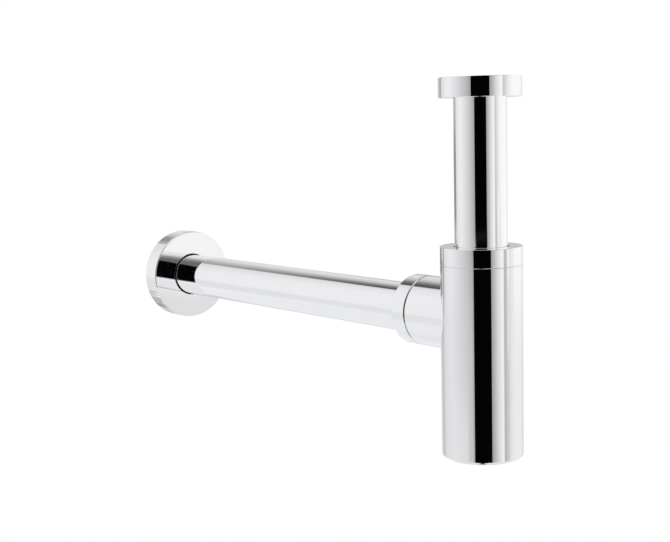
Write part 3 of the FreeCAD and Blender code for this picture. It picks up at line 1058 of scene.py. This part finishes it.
@dataclass
class Bottle(Assembly):
    """Bottle with its neck and branch in one piece, and the dip tube inside it."""

    seal: SealSizes
    radius: float = 25.0
    bore_radius: float = 23.5
    top: float = -101.0
    shoulder: float = -112.15
    base: float = -231.0
    neck_radius: float = 22.6
    neck_top: float = -104.9
    neck_thread: float = -110.6
    seal_top: float = -104.1
    dip_top: float = -113.3
    dip_end: float = -210.5
    dip_bore: float = 16.4
    dip_radius: float = 17.6
    socket_base: float = -122.9
    boss_radius: float = 20.2
    plate_base: float = -116.2
    floor_top: float = -225.5
    plug_boss_radius: float = 20.05
    plug_boss_top: float = -219.5
    plug_hole: float = 16.65
    plug_pocket: float = 19.3
    ring_seat: float = -226.4
    base_round: float = 1.8
    seam_edge: float = 0.14
    branch_radius: float = 22.4
    branch_reach: float = 45.25
    outlet_neck_radius: float = 20.6
    outlet_neck_end: float = 53.7
    outlet_neck_thread: float = 46.1
    outlet_seal_top: float = 54.5
    port_radius: float = 15.0
    outlet_stop: float = 31.0
    neck_turns: float = 3.3
    outlet_neck_turns: float = 4.4
    plug_thread: float = 0.8
    plug_turns: float = 3.6
    pocket_chamfer: float = 0.3
    cut_past: float = 1.0
    bore_past: float = 2.0
    bead_places: Span = (2.2, 6.6)
    bead_rise: float = 0.12
    bead_foot: float = 0.6
    bead_crest: float = 0.2
    foot_taper: float = 0.5
    foot_length: float = 3.0

    def outside(self) -> bpy.types.Object:
        """Turn the solid form of the bottle and its neck."""
        core = self.neck_radius - THREAD_DEPTH
        return turn(
            "bottle_body_piece",
            Run.UPRIGHT,
            [
                (0.0, self.base, SHARP),
                (self.radius, self.base, self.base_round),
                (self.radius, self.shoulder - self.seam_edge, CRISP),
                (self.radius - self.seam_edge, self.shoulder, CRISP),
                (core, self.shoulder, EASED),
                (core, self.neck_top, ROUND),
                (0.0, self.neck_top, SHARP),
            ],
            steps=LARGE_STEPS,
        )

    def branch(self) -> bpy.types.Object:
        """Turn the solid form of the branch and the outlet neck."""
        core = self.outlet_neck_radius - THREAD_DEPTH
        return turn(
            "branch_form",
            Run.OUTLET,
            [
                (0.0, 0.0, SHARP),
                (self.branch_radius, 0.0, SHARP),
                (self.branch_radius, self.branch_reach - self.seam_edge, CRISP),
                (self.branch_radius - self.seam_edge, self.branch_reach, CRISP),
                (core, self.branch_reach, EASED),
                (core, self.outlet_neck_end, ROUND),
                (0.0, self.outlet_neck_end, SHARP),
            ],
            steps=LARGE_STEPS,
        )

    def inside(self) -> bpy.types.Object:
        """Turn the form of the bottle's inside, from the seal seat to the plug hole."""
        seal = self.seal
        land = self.seal_top - seal.land
        seat_base = self.seal_top - seal.height
        plug_wall = self.plug_hole + THREAD_ROOM
        mouth = self.plug_pocket + self.pocket_chamfer
        below = self.base - self.cut_past
        return turn(
            "bottle_inside_form",
            Run.UPRIGHT,
            [
                (0.0, self.top, SHARP),
                (seal.wide_radius + seal.fit, self.top, SHARP),
                (seal.wide_radius + seal.fit, land, SHARP),
                (seal.tip_radius + seal.fit, seat_base, SHARP),
                (seal.ring_radius, seat_base, SHARP),
                (seal.ring_radius, self.dip_top, SHARP),
                (self.dip_radius + seal.fit, self.dip_top, SHARP),
                (self.dip_radius + seal.fit, self.socket_base, SOFT),
                (self.boss_radius, self.socket_base, SOFT),
                (self.boss_radius, self.plate_base, BROAD),
                (self.bore_radius, self.plate_base, BROAD),
                (self.bore_radius, self.floor_top, WIDE),
                (self.plug_boss_radius, self.floor_top, BROAD),
                (self.plug_boss_radius, self.plug_boss_top, ROUND),
                (plug_wall, self.plug_boss_top, SOFT),
                (plug_wall, self.ring_seat, SHARP),
                (self.plug_pocket, self.ring_seat, SHARP),
                (self.plug_pocket, self.base + self.pocket_chamfer, EASED),
                (mouth, self.base, EASED),
                (mouth, below, SHARP),
                (0.0, below, SHARP),
            ],
        )

    def bore(self) -> bpy.types.Object:
        """Turn the form of the outlet's bore: port, tube guide and seal seat."""
        seal = self.seal
        land = self.outlet_seal_top - seal.land
        seat_base = self.outlet_seal_top - seal.height
        past = self.outlet_neck_end + self.bore_past
        return turn(
            "outlet_bore_form",
            Run.OUTLET,
            [
                (0.0, 0.0, SHARP),
                (self.port_radius, 0.0, SHARP),
                (self.port_radius, self.outlet_stop, SHARP),
                (seal.ring_radius, self.outlet_stop, SHARP),
                (seal.ring_radius, seat_base, SHARP),
                (seal.tip_radius + seal.fit, seat_base, SHARP),
                (seal.wide_radius + seal.fit, land, SHARP),
                (seal.wide_radius + seal.fit, past, SHARP),
                (0.0, past, SHARP),
            ],
        )

    def threads(self) -> List[bpy.types.Object]:
        """Sweep the threads of both necks and of the plug's boss."""
        chrome, brass = self.finishes.chrome, self.finishes.brass
        neck = Ridge(
            Run.UPRIGHT,
            root=self.neck_radius - THREAD_DEPTH - ROOT_SINK,
            crest=self.neck_radius,
            start=self.neck_thread,
            turns=self.neck_turns,
        )
        outlet = Ridge(
            Run.OUTLET,
            root=self.outlet_neck_radius - THREAD_DEPTH - ROOT_SINK,
            crest=self.outlet_neck_radius,
            start=self.outlet_neck_thread,
            turns=self.outlet_neck_turns,
        )
        boss = Ridge(
            Run.UPRIGHT,
            root=self.plug_hole + THREAD_ROOM + ROOT_SINK,
            crest=self.plug_hole - CREST_REACH,
            start=self.ring_seat + self.plug_thread,
            turns=self.plug_turns,
        )
        return [
            neck.make("bottle_neck_thread", chrome[Run.UPRIGHT]),
            outlet.make("outlet_neck_thread", chrome[Run.OUTLET]),
            boss.make("plug_boss_thread", brass[Run.UPRIGHT]),
        ]

    def body(self) -> bpy.types.Object:
        """Join the bottle and the branch, hollow them out and add the threads."""
        piece = self.outside()
        chrome, brass = self.finishes.chrome, self.finishes.brass
        coats = [chrome[Run.UPRIGHT], chrome[Run.OUTLET], brass[Run.UPRIGHT]]
        forms = [
            (self.branch(), 1, Cut.ADD),
            (self.inside(), 2, Cut.TAKE),
            (self.bore(), 2, Cut.TAKE),
        ]
        for material in coats:
            piece.data.materials.append(material)
        for form, number, how in forms:
            for material in coats:
                form.data.materials.append(material)
            for face in form.data.polygons:
                face.material_index = number
            change(piece, form, how)
        only(piece)
        bpy.ops.object.mode_set(mode="EDIT")
        close_mesh()
        crease_between_coats(piece)
        smooth(piece)
        join(piece, self.threads())
        return piece

    def dip_tube(self) -> bpy.types.Object:
        """Turn the dip tube, with two grip beads in its socket and a thinned foot."""
        skin = self.dip_radius - self.bead_rise
        beads: List[Corner] = []
        for place in self.bead_places:
            bead = self.socket_base + place
            beads += [
                (skin, bead - self.bead_foot, EASED),
                (self.dip_radius, bead - self.bead_crest, EASED),
                (self.dip_radius, bead + self.bead_crest, EASED),
                (skin, bead + self.bead_foot, EASED),
            ]
        return self.small_piece(
            "dip_tube_piece",
            Run.UPRIGHT,
            [
                (self.dip_bore, self.dip_end, SOFT),
                (skin - self.foot_taper, self.dip_end, SOFT),
                (skin, self.dip_end + self.foot_length, ROUND),
                *beads,
                (skin, self.dip_top, ROUND),
                (self.dip_bore, self.dip_top, ROUND),
            ],
            self.finishes.nylon,
        )

    def build(self) -> None:
        """Make the pieces and hand them over."""
        self.hand_over(self.body(), "bottle_body", "bottle", Slot.CHROME)
        self.hand_over(self.dip_tube(), "dip_tube", "bottle", Slot.NYLON)


@dataclass
class RubberRing:
    """Round rubber ring with a fine mould line."""

    run: Run
    middle: float
    section: float
    along: float
    mould_line: float = 0.04
    sides: int = 24
    sharpness: float = 40

    def make(self, name: str, material: bpy.types.Material) -> bpy.types.Object:
        """Spin the ring's round section.

        Args:
            name: the piece's name.
            material: its finish.

        Returns:
            The ring.
        """
        corners: List[Corner] = []
        for number in range(self.sides):
            angle = math.tau * number / self.sides
            reach = self.section / 2
            if number % (self.sides // 2) == 0:
                reach += self.mould_line / 2
            radius = self.middle + reach * math.cos(angle)
            corners.append((radius, self.along + reach * math.sin(angle), SHARP))
        piece = turn(name, self.run, corners, steps=SMALL_STEPS)
        piece.data.materials.append(material)
        smooth(piece, self.sharpness)
        return piece


@dataclass
class CleaningPlug(Assembly):
    """Screw plug in the bottle's floor, with its rubber ring."""

    face: float = -230.7
    head_radius: float = 19.0
    head_top: float = -228.3
    shank_radius: float = 16.5
    top: float = -219.9
    hollow_radius: float = 13.5
    web_top: float = -226.5
    slot_length: float = 26.0
    slot_width: float = 3.0
    slot_depth: float = 1.8
    ring_middle: float = 17.6
    ring_section: float = 1.8
    ring_place: float = -227.35
    ring_seat: float = -226.4
    face_round: float = 0.5
    shank_land: float = 0.1
    shank_taper: float = 0.5
    thread_start: float = 0.8
    thread_turns: float = 2.9
    slot_round: float = 0.49
    slot_segments: int = 10
    head_skin: float = 0.05

    def slot_form(self) -> bpy.types.Object:
        """Block with round ends that cuts the coin slot."""
        bpy.ops.object.select_all(action="DESELECT")
        bpy.ops.mesh.primitive_cube_add(size=MM, location=(0, 0, 0), enter_editmode=True)
        form = bpy.context.object
        bpy.ops.mesh.select_all(action="SELECT")
        size = (self.slot_length, self.slot_width, 2 * self.slot_depth)
        bpy.ops.transform.resize(value=size, center_override=(0, 0, 0))
        bpy.ops.transform.translate(value=(0, 0, self.face * MM))
        bpy.ops.mesh.select_all(action="DESELECT")
        mesh = bmesh.from_edit_mesh(form.data)
        for edge in mesh.edges:
            first, second = (vertex.co for vertex in edge.verts)
            edge.select_set(abs(first.z - second.z) > MM)
        bmesh.update_edit_mesh(form.data)
        rounding = self.slot_round * self.slot_width * MM
        bpy.ops.mesh.bevel(offset=rounding, segments=self.slot_segments, affect="EDGES")
        close_mesh()
        return form

    def plug(self) -> bpy.types.Object:
        """Turn the plug, cut its slot and add its thread."""
        run = Run.UPRIGHT
        core = self.shank_radius - THREAD_DEPTH
        piece = turn(
            "cleaning_plug_piece",
            run,
            [
                (0.0, self.face, SHARP),
                (self.head_radius, self.face, self.face_round),
                (self.head_radius, self.head_top, SOFT),
                (self.shank_radius, self.head_top, EASED),
                (self.shank_radius, self.ring_seat - self.shank_land, EASED),
                (core, self.ring_seat + self.shank_taper, EASED),
                (core, self.top, ROUND),
                (self.hollow_radius, self.top, ROUND),
                (self.hollow_radius, self.web_top, ROUND),
                (0.0, self.web_top, SHARP),
            ],
        )
        change(piece, self.slot_form(), Cut.TAKE)
        self.plate(piece, run, lambda radius, along: along > self.head_top - self.head_skin)
        ridge = Ridge(
            run,
            root=core - ROOT_SINK,
            crest=self.shank_radius,
            start=self.ring_seat + self.thread_start + PITCH / 2,
            turns=self.thread_turns,
        )
        join(piece, [ridge.make("plug_thread", self.finishes.brass[run])])
        return piece

    def build(self) -> None:
        """Make the pieces and hand them over."""
        ring = RubberRing(Run.UPRIGHT, self.ring_middle, self.ring_section, self.ring_place)
        rubber = ring.make("plug_o_ring_piece", self.finishes.rubber)
        self.hand_over(self.plug(), "cleaning_plug", "cleaning_plug", Slot.CHROME)
        self.hand_over(rubber, "plug_o_ring", "plug_o_ring", Slot.RUBBER)


@dataclass
class WallSide(Assembly):
    """Outlet tube, and the wall flange with its grip ring."""

    tube_radius: float = 16.0
    bore_radius: float = 15.0
    start: float = 40.0
    end: float = 358.4
    line_start: float = 339.6
    line_end: float = 340.4
    line_radius: float = 15.75
    line_slope: float = 0.2
    edge: float = 0.5
    flange_radius: float = 35.0
    flange_rim: float = 33.4
    front: float = 325.0
    back: float = 340.0
    flange_edge: float = 0.8
    rim_skin: float = 0.4
    plate_back: float = 326.6
    hole_radius: float = 16.8
    collar_radius: float = 20.6
    collar_end: float = 334.0
    groove_start: float = 328.5
    groove_end: float = 331.2
    groove_radius: float = 18.65
    ring_middle: float = 17.3
    ring_section: float = 2.5

    def tube(self) -> bpy.types.Object:
        """Turn the outlet tube with its depth line."""
        run = Run.OUTLET
        piece = turn(
            "outlet_tube_piece",
            run,
            [
                (self.bore_radius, self.start, SOFT),
                (self.tube_radius, self.start, ROUND),
                (self.tube_radius, self.line_start, HAIR),
                (self.line_radius, self.line_start + self.line_slope, HAIR),
                (self.line_radius, self.line_end - self.line_slope, HAIR),
                (self.tube_radius, self.line_end, HAIR),
                (self.tube_radius, self.end - self.edge, BROKEN),
                (self.tube_radius - self.edge, self.end, BROKEN),
                (self.bore_radius, self.end, SOFT),
            ],
        )
        self.plate(piece, run, lambda radius, along: radius < self.bore_radius + BORE_SKIN)
        return piece

    def flange(self) -> bpy.types.Object:
        """Turn the flange with its collar and ring groove."""
        run = Run.OUTLET
        piece = turn(
            "wall_flange_piece",
            run,
            [
                (self.hole_radius, self.front, MILD),
                (self.flange_radius, self.front, self.flange_edge),
                (self.flange_radius, self.back, SOFT),
                (self.flange_rim, self.back, SOFT),
                (self.flange_rim, self.plate_back, WIDE),
                (self.collar_radius, self.plate_back, BROAD),
                (self.collar_radius, self.collar_end, ROUND),
                (self.hole_radius, self.collar_end, SOFT),
                (self.hole_radius, self.groove_end, EASED),
                (self.groove_radius, self.groove_end, EASED),
                (self.groove_radius, self.groove_start, EASED),
                (self.hole_radius, self.groove_start, EASED),
            ],
            steps=LARGE_STEPS,
        )
        rim, plate = self.flange_rim - self.rim_skin, self.plate_back - WALL_SKIN
        self.plate(piece, run, lambda radius, along: radius < rim and along > plate)
        return piece

    def build(self) -> None:
        """Make the pieces and hand them over."""
        middle = (self.groove_start + self.groove_end) / 2
        ring = RubberRing(Run.OUTLET, self.ring_middle, self.ring_section, middle)
        rubber = ring.make("flange_grip_ring_piece", self.finishes.rubber)
        self.hand_over(self.tube(), "outlet_tube", "outlet_tube", Slot.CHROME)
        self.hand_over(self.flange(), "wall_flange", "wall_flange", Slot.CHROME)
        self.hand_over(rubber, "flange_grip_ring", "wall_flange", Slot.RUBBER)


@dataclass(frozen=True)
class Patch:
    """One part of the light tent that differs from the walls round it.

    The turn runs from the camera's side to the picture's right and the height from level, both
    in degrees.
    """

    left: float
    right: float
    low: float
    high: float
    edge: float
    level: float
    cover: float = 1.0
    cool: float = 1.012

    def laid_on(self, walls: Value, turned: Value, height: Value) -> Value:
        """Lay the patch on the tent.

        Args:
            walls: the tent's colour so far.
            turned: turn of the direction.
            height: height of the direction.

        Returns:
            The tent's colour with the patch.
        """
        share = turned.between(self.left, self.right, self.edge)
        share = share * height.between(self.low, self.high, self.edge) * self.cover
        colour = (self.level, self.level, self.level * self.cool, 1)
        return walls.sheet.mix(share, walls, colour)


@dataclass
class Studio:
    """Camera, floor and the white light tent round the trap."""

    place: Triple = (-0.516731, -0.488836, -0.025646)
    turn: float = -39.4115
    tilt: float = 7.163
    roll: float = -1.3729
    lens: float = 62.933
    sensor: float = 36.0
    floor_height: float = -0.74
    floor_radius: float = 1.08
    floor_middle: float = 0.15
    floor_sides: int = 96
    floor_cloud: float = 3
    floor_colour: Colour = (0.89, 0.905, 0.93)
    # Painted shadow in the glow that metal mirrors: darker near the floor's middle, under the
    # trap
    floor_shade: Colour = (0.73, 0.74, 0.76)
    shade_reach: Span = (0.25, 0.6)
    # Painted dark reflection: a black strip towards the camera in the glow that only metal
    # mirrors
    painted_strip_sides: Span = (-0.075, 0.06)
    painted_strip_edge: float = 0.03
    painted_strip_start: Span = (0.06, 0.1)
    paint_levels: Span = (0.88, 0.92)
    glow_share: float = 0.85
    plain_lift: float = 1.15
    upper_heights: Span = (31, 44)
    top_heights: Span = (50, 64)
    dim_heights: Span = (-14, -3)
    dim_share: float = 0.06
    foot_heights: Span = (-29, -23)
    less_green: float = 0.006
    less_blue: float = 0.03
    cool_share: float = -0.35
    patches: Tuple[Patch, ...] = (
        # Shaded back corner that the nuts' flat tops show
        Patch(left=172, right=190, low=2.5, high=15, edge=3, level=0.57),
        Patch(left=-190, right=-172, low=2.5, high=15, edge=3, level=0.57),
        # Back panel's lower edge and its dark foot, in the bottle's left side
        Patch(left=-170, right=-132, low=-5.8, high=-0.5, edge=3, level=0.24, cover=0.8),
        Patch(left=-165, right=-127.5, low=-9, high=-6, edge=2, level=0.1, cover=0.9),
        # Gaps beside the back panel, in the branch and the bottle's left edge
        Patch(left=-134, right=-121, low=3.2, high=8, edge=3, level=0.2),
        Patch(left=-136, right=-117.5, low=12, high=25.5, edge=4, level=0.25),
        # Back panel in the flange's upper rim, and the paler wall beside it
        Patch(left=-145.5, right=-137.6, low=24, high=32, edge=2.6, level=0.2, cover=0.67),
        Patch(left=-149.9, right=-145.5, low=20, high=29.6, edge=2.6, level=0.2, cover=0.67),
        Patch(left=-173, right=-156.5, low=8, high=28.5, edge=5, level=1.0, cover=0.24),
        # Far end of the floor, in the flange's lower rim
        Patch(left=-147, right=-121.5, low=-36, high=-24.5, edge=3, level=0.5),
        Patch(left=-117, right=-112.5, low=-26.9, high=-23, edge=1.4, level=0.58),
        Patch(left=-121.5, right=-117, low=-29, high=-24, edge=1.4, level=0.56),
        Patch(left=-144, right=-136, low=-34, high=-29, edge=2.5, level=0.38),
        Patch(left=-155, right=-147, low=-31, high=-24, edge=3, level=0.6),
        # Foot of the left wall, made more even
        Patch(left=-210, right=-24, low=-21.5, high=-7.8, edge=9, level=0.745, cover=0.5),
        Patch(left=-92, right=-40, low=-19, high=-14, edge=5, level=0.84, cover=0.55),
        # Dimmer foot of the right wall
        Patch(left=102, right=165, low=-30, high=-9, edge=6, level=0.0, cover=0.075),
        Patch(left=65, right=102, low=-30, high=-4.5, edge=6, level=0.0, cover=0.08),
        Patch(left=65, right=84, low=-30, high=-4.5, edge=6, level=0.0, cover=0.09),
        # Panel that the flange's face shows
        Patch(left=75, right=83.5, low=-11.5, high=-8, edge=1.5, level=0.77),
        Patch(left=76, right=82.5, low=-8, high=-3.5, edge=1.5, level=0.95),
        # Pale ground before the camera
        Patch(left=-42, right=42, low=-100, high=-19.5, edge=2, level=0.9),
        # Dark panel over the camera, brighter to its right end
        Patch(left=-25, right=70, low=24, high=44, edge=5, level=0.15),
        Patch(left=47, right=75, low=24, high=44, edge=8, level=0.28),
        Patch(left=58.5, right=82, low=17, high=44, edge=7, level=0.66),
        Patch(left=67.5, right=84, low=9, high=27, edge=6, level=0.88),
        Patch(left=-25, right=35, low=44, high=60, edge=6, level=0.12),
        Patch(left=55, right=145, low=38, high=70, edge=8, level=0.12),
        # Dark opening that the camera looks through
        Patch(left=-25, right=26, low=-6, high=25.5, edge=1.4, level=OPENING),
        Patch(left=-21.7, right=27, low=-18, high=-5.3, edge=1.4, level=OPENING),
        Patch(left=-18, right=14, low=-50, high=-16, edge=1.4, level=OPENING),
        Patch(left=0, right=34, low=11, high=28.5, edge=1.4, level=OPENING),
    )

    @property
    def towards(self) -> Vector:
        """Level direction from the bottle to the camera."""
        return Vector((self.place[0], self.place[1], 0)).normalized()

    @property
    def across(self) -> Vector:
        """Level direction to the picture's right."""
        return Vector((-self.towards.y, self.towards.x, 0))

    def camera(self) -> None:
        """Set the camera at the photo's place, turn and lens."""
        bpy.ops.object.camera_add(location=self.place)
        camera = bpy.context.object
        level = Matrix.Rotation(math.radians(self.turn), 4, "Z")
        lowered = Matrix.Rotation(math.radians(90 - self.tilt), 4, "X")
        rolled = Matrix.Rotation(math.radians(self.roll), 4, "Z")
        camera.matrix_world = Matrix.Translation(self.place) @ level @ lowered @ rolled
        camera.data.lens = self.lens
        camera.data.sensor_width = self.sensor
        bpy.context.scene.camera = camera

    @staticmethod
    def sight(sheet: NodeSheet) -> Tuple[Value, Value]:
        """Tell the rays that see the studio from those that only light the trap.

        Args:
            sheet: the sheet of the floor or the world.

        Returns:
            1 for the camera's own rays, and 1 for those and the mirrored ones.
        """
        rays = sheet.add("ShaderNodeLightPath")
        camera = Value(sheet, rays.outputs["Is Camera Ray"])
        seen = camera + rays.outputs["Is Glossy Ray"] + rays.outputs["Is Transmission Ray"]
        return camera, seen

    def floor(self) -> None:
        """Lay a pale round floor far below the trap; its glow in metal has a painted shadow and a
        painted dark strip.
        """
        bpy.ops.object.select_all(action="DESELECT")
        middle = (0, self.floor_middle, self.floor_height)
        bpy.ops.mesh.primitive_circle_add(
            vertices=self.floor_sides, radius=self.floor_radius, fill_type="NGON", location=middle
        )
        floor = bpy.context.object
        floor.name = "studio_floor"
        bpy.ops.object.transform_apply(location=True, rotation=True, scale=True)
        material, sheet = new_sheet("pale_floor")
        camera, seen = self.sight(sheet)
        spot = sheet.value("ShaderNodeTexCoord", output="Object")
        ends = {0: spot, 1: middle}
        reach = sheet.value("ShaderNodeVectorMath", {"operation": "DISTANCE"}, ends, 1)
        # Painted shadow: what metal mirrors of the floor is darker near its middle, under the
        # trap
        shade, pale = (*self.floor_shade, 1), (*self.floor_colour, 1)
        mirrored = sheet.mix(reach.rise(*self.shade_reach), shade, pale)
        aside = sheet.share_along(spot, self.across)
        facing = sheet.share_along(spot, self.towards)
        # Painted dark reflection: a black strip on the floor towards the camera, which only
        # mirrored rays see
        painted_dark_strip = aside.between(*self.painted_strip_sides, self.painted_strip_edge) * facing.rise(*self.painted_strip_start)
        mirrored = sheet.mix(painted_dark_strip, mirrored, (OPENING, OPENING, OPENING, 1))
        white = sheet.mix(camera, mirrored, WHITE)
        cloud = sheet.stretched_noise(EVEN, self.floor_cloud, detail=2)
        dull, fresh = ((level, level, level, 1) for level in self.paint_levels)
        colour = sheet.mix(cloud, dull, fresh)
        paint = sheet.add("ShaderNodeBsdfDiffuse", None, {"Color": colour})
        glow = sheet.add("ShaderNodeEmission", None, {"Color": white, "Strength": 1.0})
        inputs = {0: seen * self.glow_share, 1: paint.outputs[0], 2: glow.outputs[0]}
        mixed = sheet.add("ShaderNodeMixShader", None, inputs)
        sheet.add("ShaderNodeOutputMaterial", None, {"Surface": mixed.outputs[0]})
        floor.data.materials.append(material)

    def side_stops(self) -> List[Span]:
        """Brightness of the tent's walls, by the turn in degrees from the camera's side."""
        return [
            (-180, 0.70), (-170, 0.70), (-160, 0.64), (-150, 0.55), (-142, 0.46), (-132.6, 0.41),
            (-130.8, 0.74), (-120, 0.80), (-112, 0.85), (-104, 0.88), (-96, 0.89), (-88, 0.87),
            (-72, 0.78), (-56, 0.67), (-40, 0.54), (-26, 0.38), (0, 0.36), (26, 0.36),
            (34, 0.50), (44, 0.72), (57, 0.94), (63.2, 0.97), (64.8, 0.58), (72, 0.70),
            (80, 0.84), (90, 0.94), (104, 1.0), (136, 1.0), (150, 0.9), (160, 0.81),
            (170, 0.75), (180, 0.70),
        ]

    def upper_stops(self) -> List[Span]:
        """Brightness of the walls' upper part, where the back panel falls into shade."""
        return [
            (-180, 0.72), (-164, 0.55), (-153, 0.29), (-142, 0.12), (-132.6, 0.08),
            (-130.4, 0.72), (-120, 0.82), (-96, 0.89), (-72, 0.82), (-40, 0.66), (0, 0.60),
            (40, 0.76), (62.2, 0.97), (63.8, 0.68), (90, 0.95), (136, 1.0), (180, 0.72),
        ]

    def wall_ramp(self, sheet: NodeSheet, turn_share: Value, stops: List[Span]) -> Value:
        """Colour of the walls from their brightness.

        Args:
            sheet: the world's sheet.
            turn_share: the turn as a share from 0 to 1.
            stops: turn in degrees and brightness.

        Returns:
            The colour, a little warmer to the right and cooler to the left.
        """
        colours = []
        for degrees, level in stops:
            warm = 1.0 if 0 < degrees < 90 else self.cool_share
            green, blue = 1 - self.less_green * warm, 1 - self.less_blue * warm
            tint = (level, level * green, level * blue)
            colours.append((degrees / 360 + 0.5, tint))
        return sheet.value("ShaderNodeValToRGB", {"stops": colours}, {0: turn_share})

    def tent(self, sheet: NodeSheet) -> Value:
        """Write the tent that polished metal shows.

        Args:
            sheet: the world's sheet.

        Returns:
            The tent's colour in every direction.
        """
        direction = sheet.value("ShaderNodeTexCoord", output="Generated")
        aside = sheet.share_along(direction, self.across)
        facing = sheet.share_along(direction, self.towards)
        lift = sheet.share_along(direction, Vector((0, 0, 1)))
        turned = aside.maths("ARCTAN2", aside, facing) * math.degrees(1)
        height = lift.maths("ARCSINE", lift) * math.degrees(1)
        turn_share = turned / 360 + 0.5
        walls = self.wall_ramp(sheet, turn_share, self.side_stops())
        upper = self.wall_ramp(sheet, turn_share, self.upper_stops())
        walls = sheet.mix(height.rise(*self.upper_heights), walls, upper)
        walls = sheet.mix(height.rise(*self.top_heights), walls, WHITE)
        dimmed = self.dim_share * (1 - height.rise(*self.dim_heights))
        walls = sheet.mix(dimmed, walls, BLACK)
        foot = 1 - height.rise(*self.foot_heights)
        walls = sheet.mix(foot, walls, (*self.floor_colour, 1))
        for patch in self.patches:
            walls = patch.laid_on(walls, turned, height)
        return walls

    def light(self) -> None:
        """Light the trap with the tent, with a white backdrop for the camera."""
        world = bpy.data.worlds.new("light_tent")
        world.use_nodes = True
        bpy.context.scene.world = world
        sheet = NodeSheet(world.node_tree)
        camera, seen = self.sight(sheet)
        tent = self.tent(sheet)
        backdrop = sheet.mix(camera, tent, WHITE)
        lift = {0: tent, "Scale": self.plain_lift}
        plain = sheet.value("ShaderNodeVectorMath", {"operation": "SCALE"}, lift)
        colour = sheet.mix(seen, plain, backdrop)
        glow = sheet.add("ShaderNodeBackground", None, {"Color": colour, "Strength": 1.0})
        sheet.add("ShaderNodeOutputWorld", None, {"Surface": glow.outputs[0]})

    def build(self) -> None:
        """Set up the camera, the floor and the light."""
        self.camera()
        self.floor()
        self.light()
        bpy.context.scene.view_settings.view_transform = "Standard"


def main() -> None:
    """Build the trap and its studio, piece by piece."""
    logging.basicConfig(level=logging.INFO, format="%(name)s: %(message)s")
    finishes = Finishes.make()
    seal = SealSizes()
    bottle_grip = GripSet(
        finishes,
        seal,
        run=Run.UPRIGHT,
        name="bottle",
        nut_body="bottle_nut",
        ring_body="bottle_slip_ring",
        seal_body="bottle",
        outer_radius=25.0,
        thread_radius=22.75,
        mouth=-112.1,
        face=-101.0,
    )
    outlet_grip = GripSet(
        finishes,
        seal,
        run=Run.OUTLET,
        name="outlet",
        nut_body="outlet_nut",
        ring_body="outlet_slip_ring",
        seal_body="bottle",
        outer_radius=22.4,
        thread_radius=20.75,
        mouth=46.1,
        face=57.6,
        mouth_edge=0.4,
    )
    assemblies = [
        InletSet(finishes),
        bottle_grip,
        Bottle(finishes, seal),
        CleaningPlug(finishes),
        outlet_grip,
        WallSide(finishes),
    ]
    for assembly in assemblies:
        assembly.build()
    Studio().build()


if __name__ == "__main__":
    main()
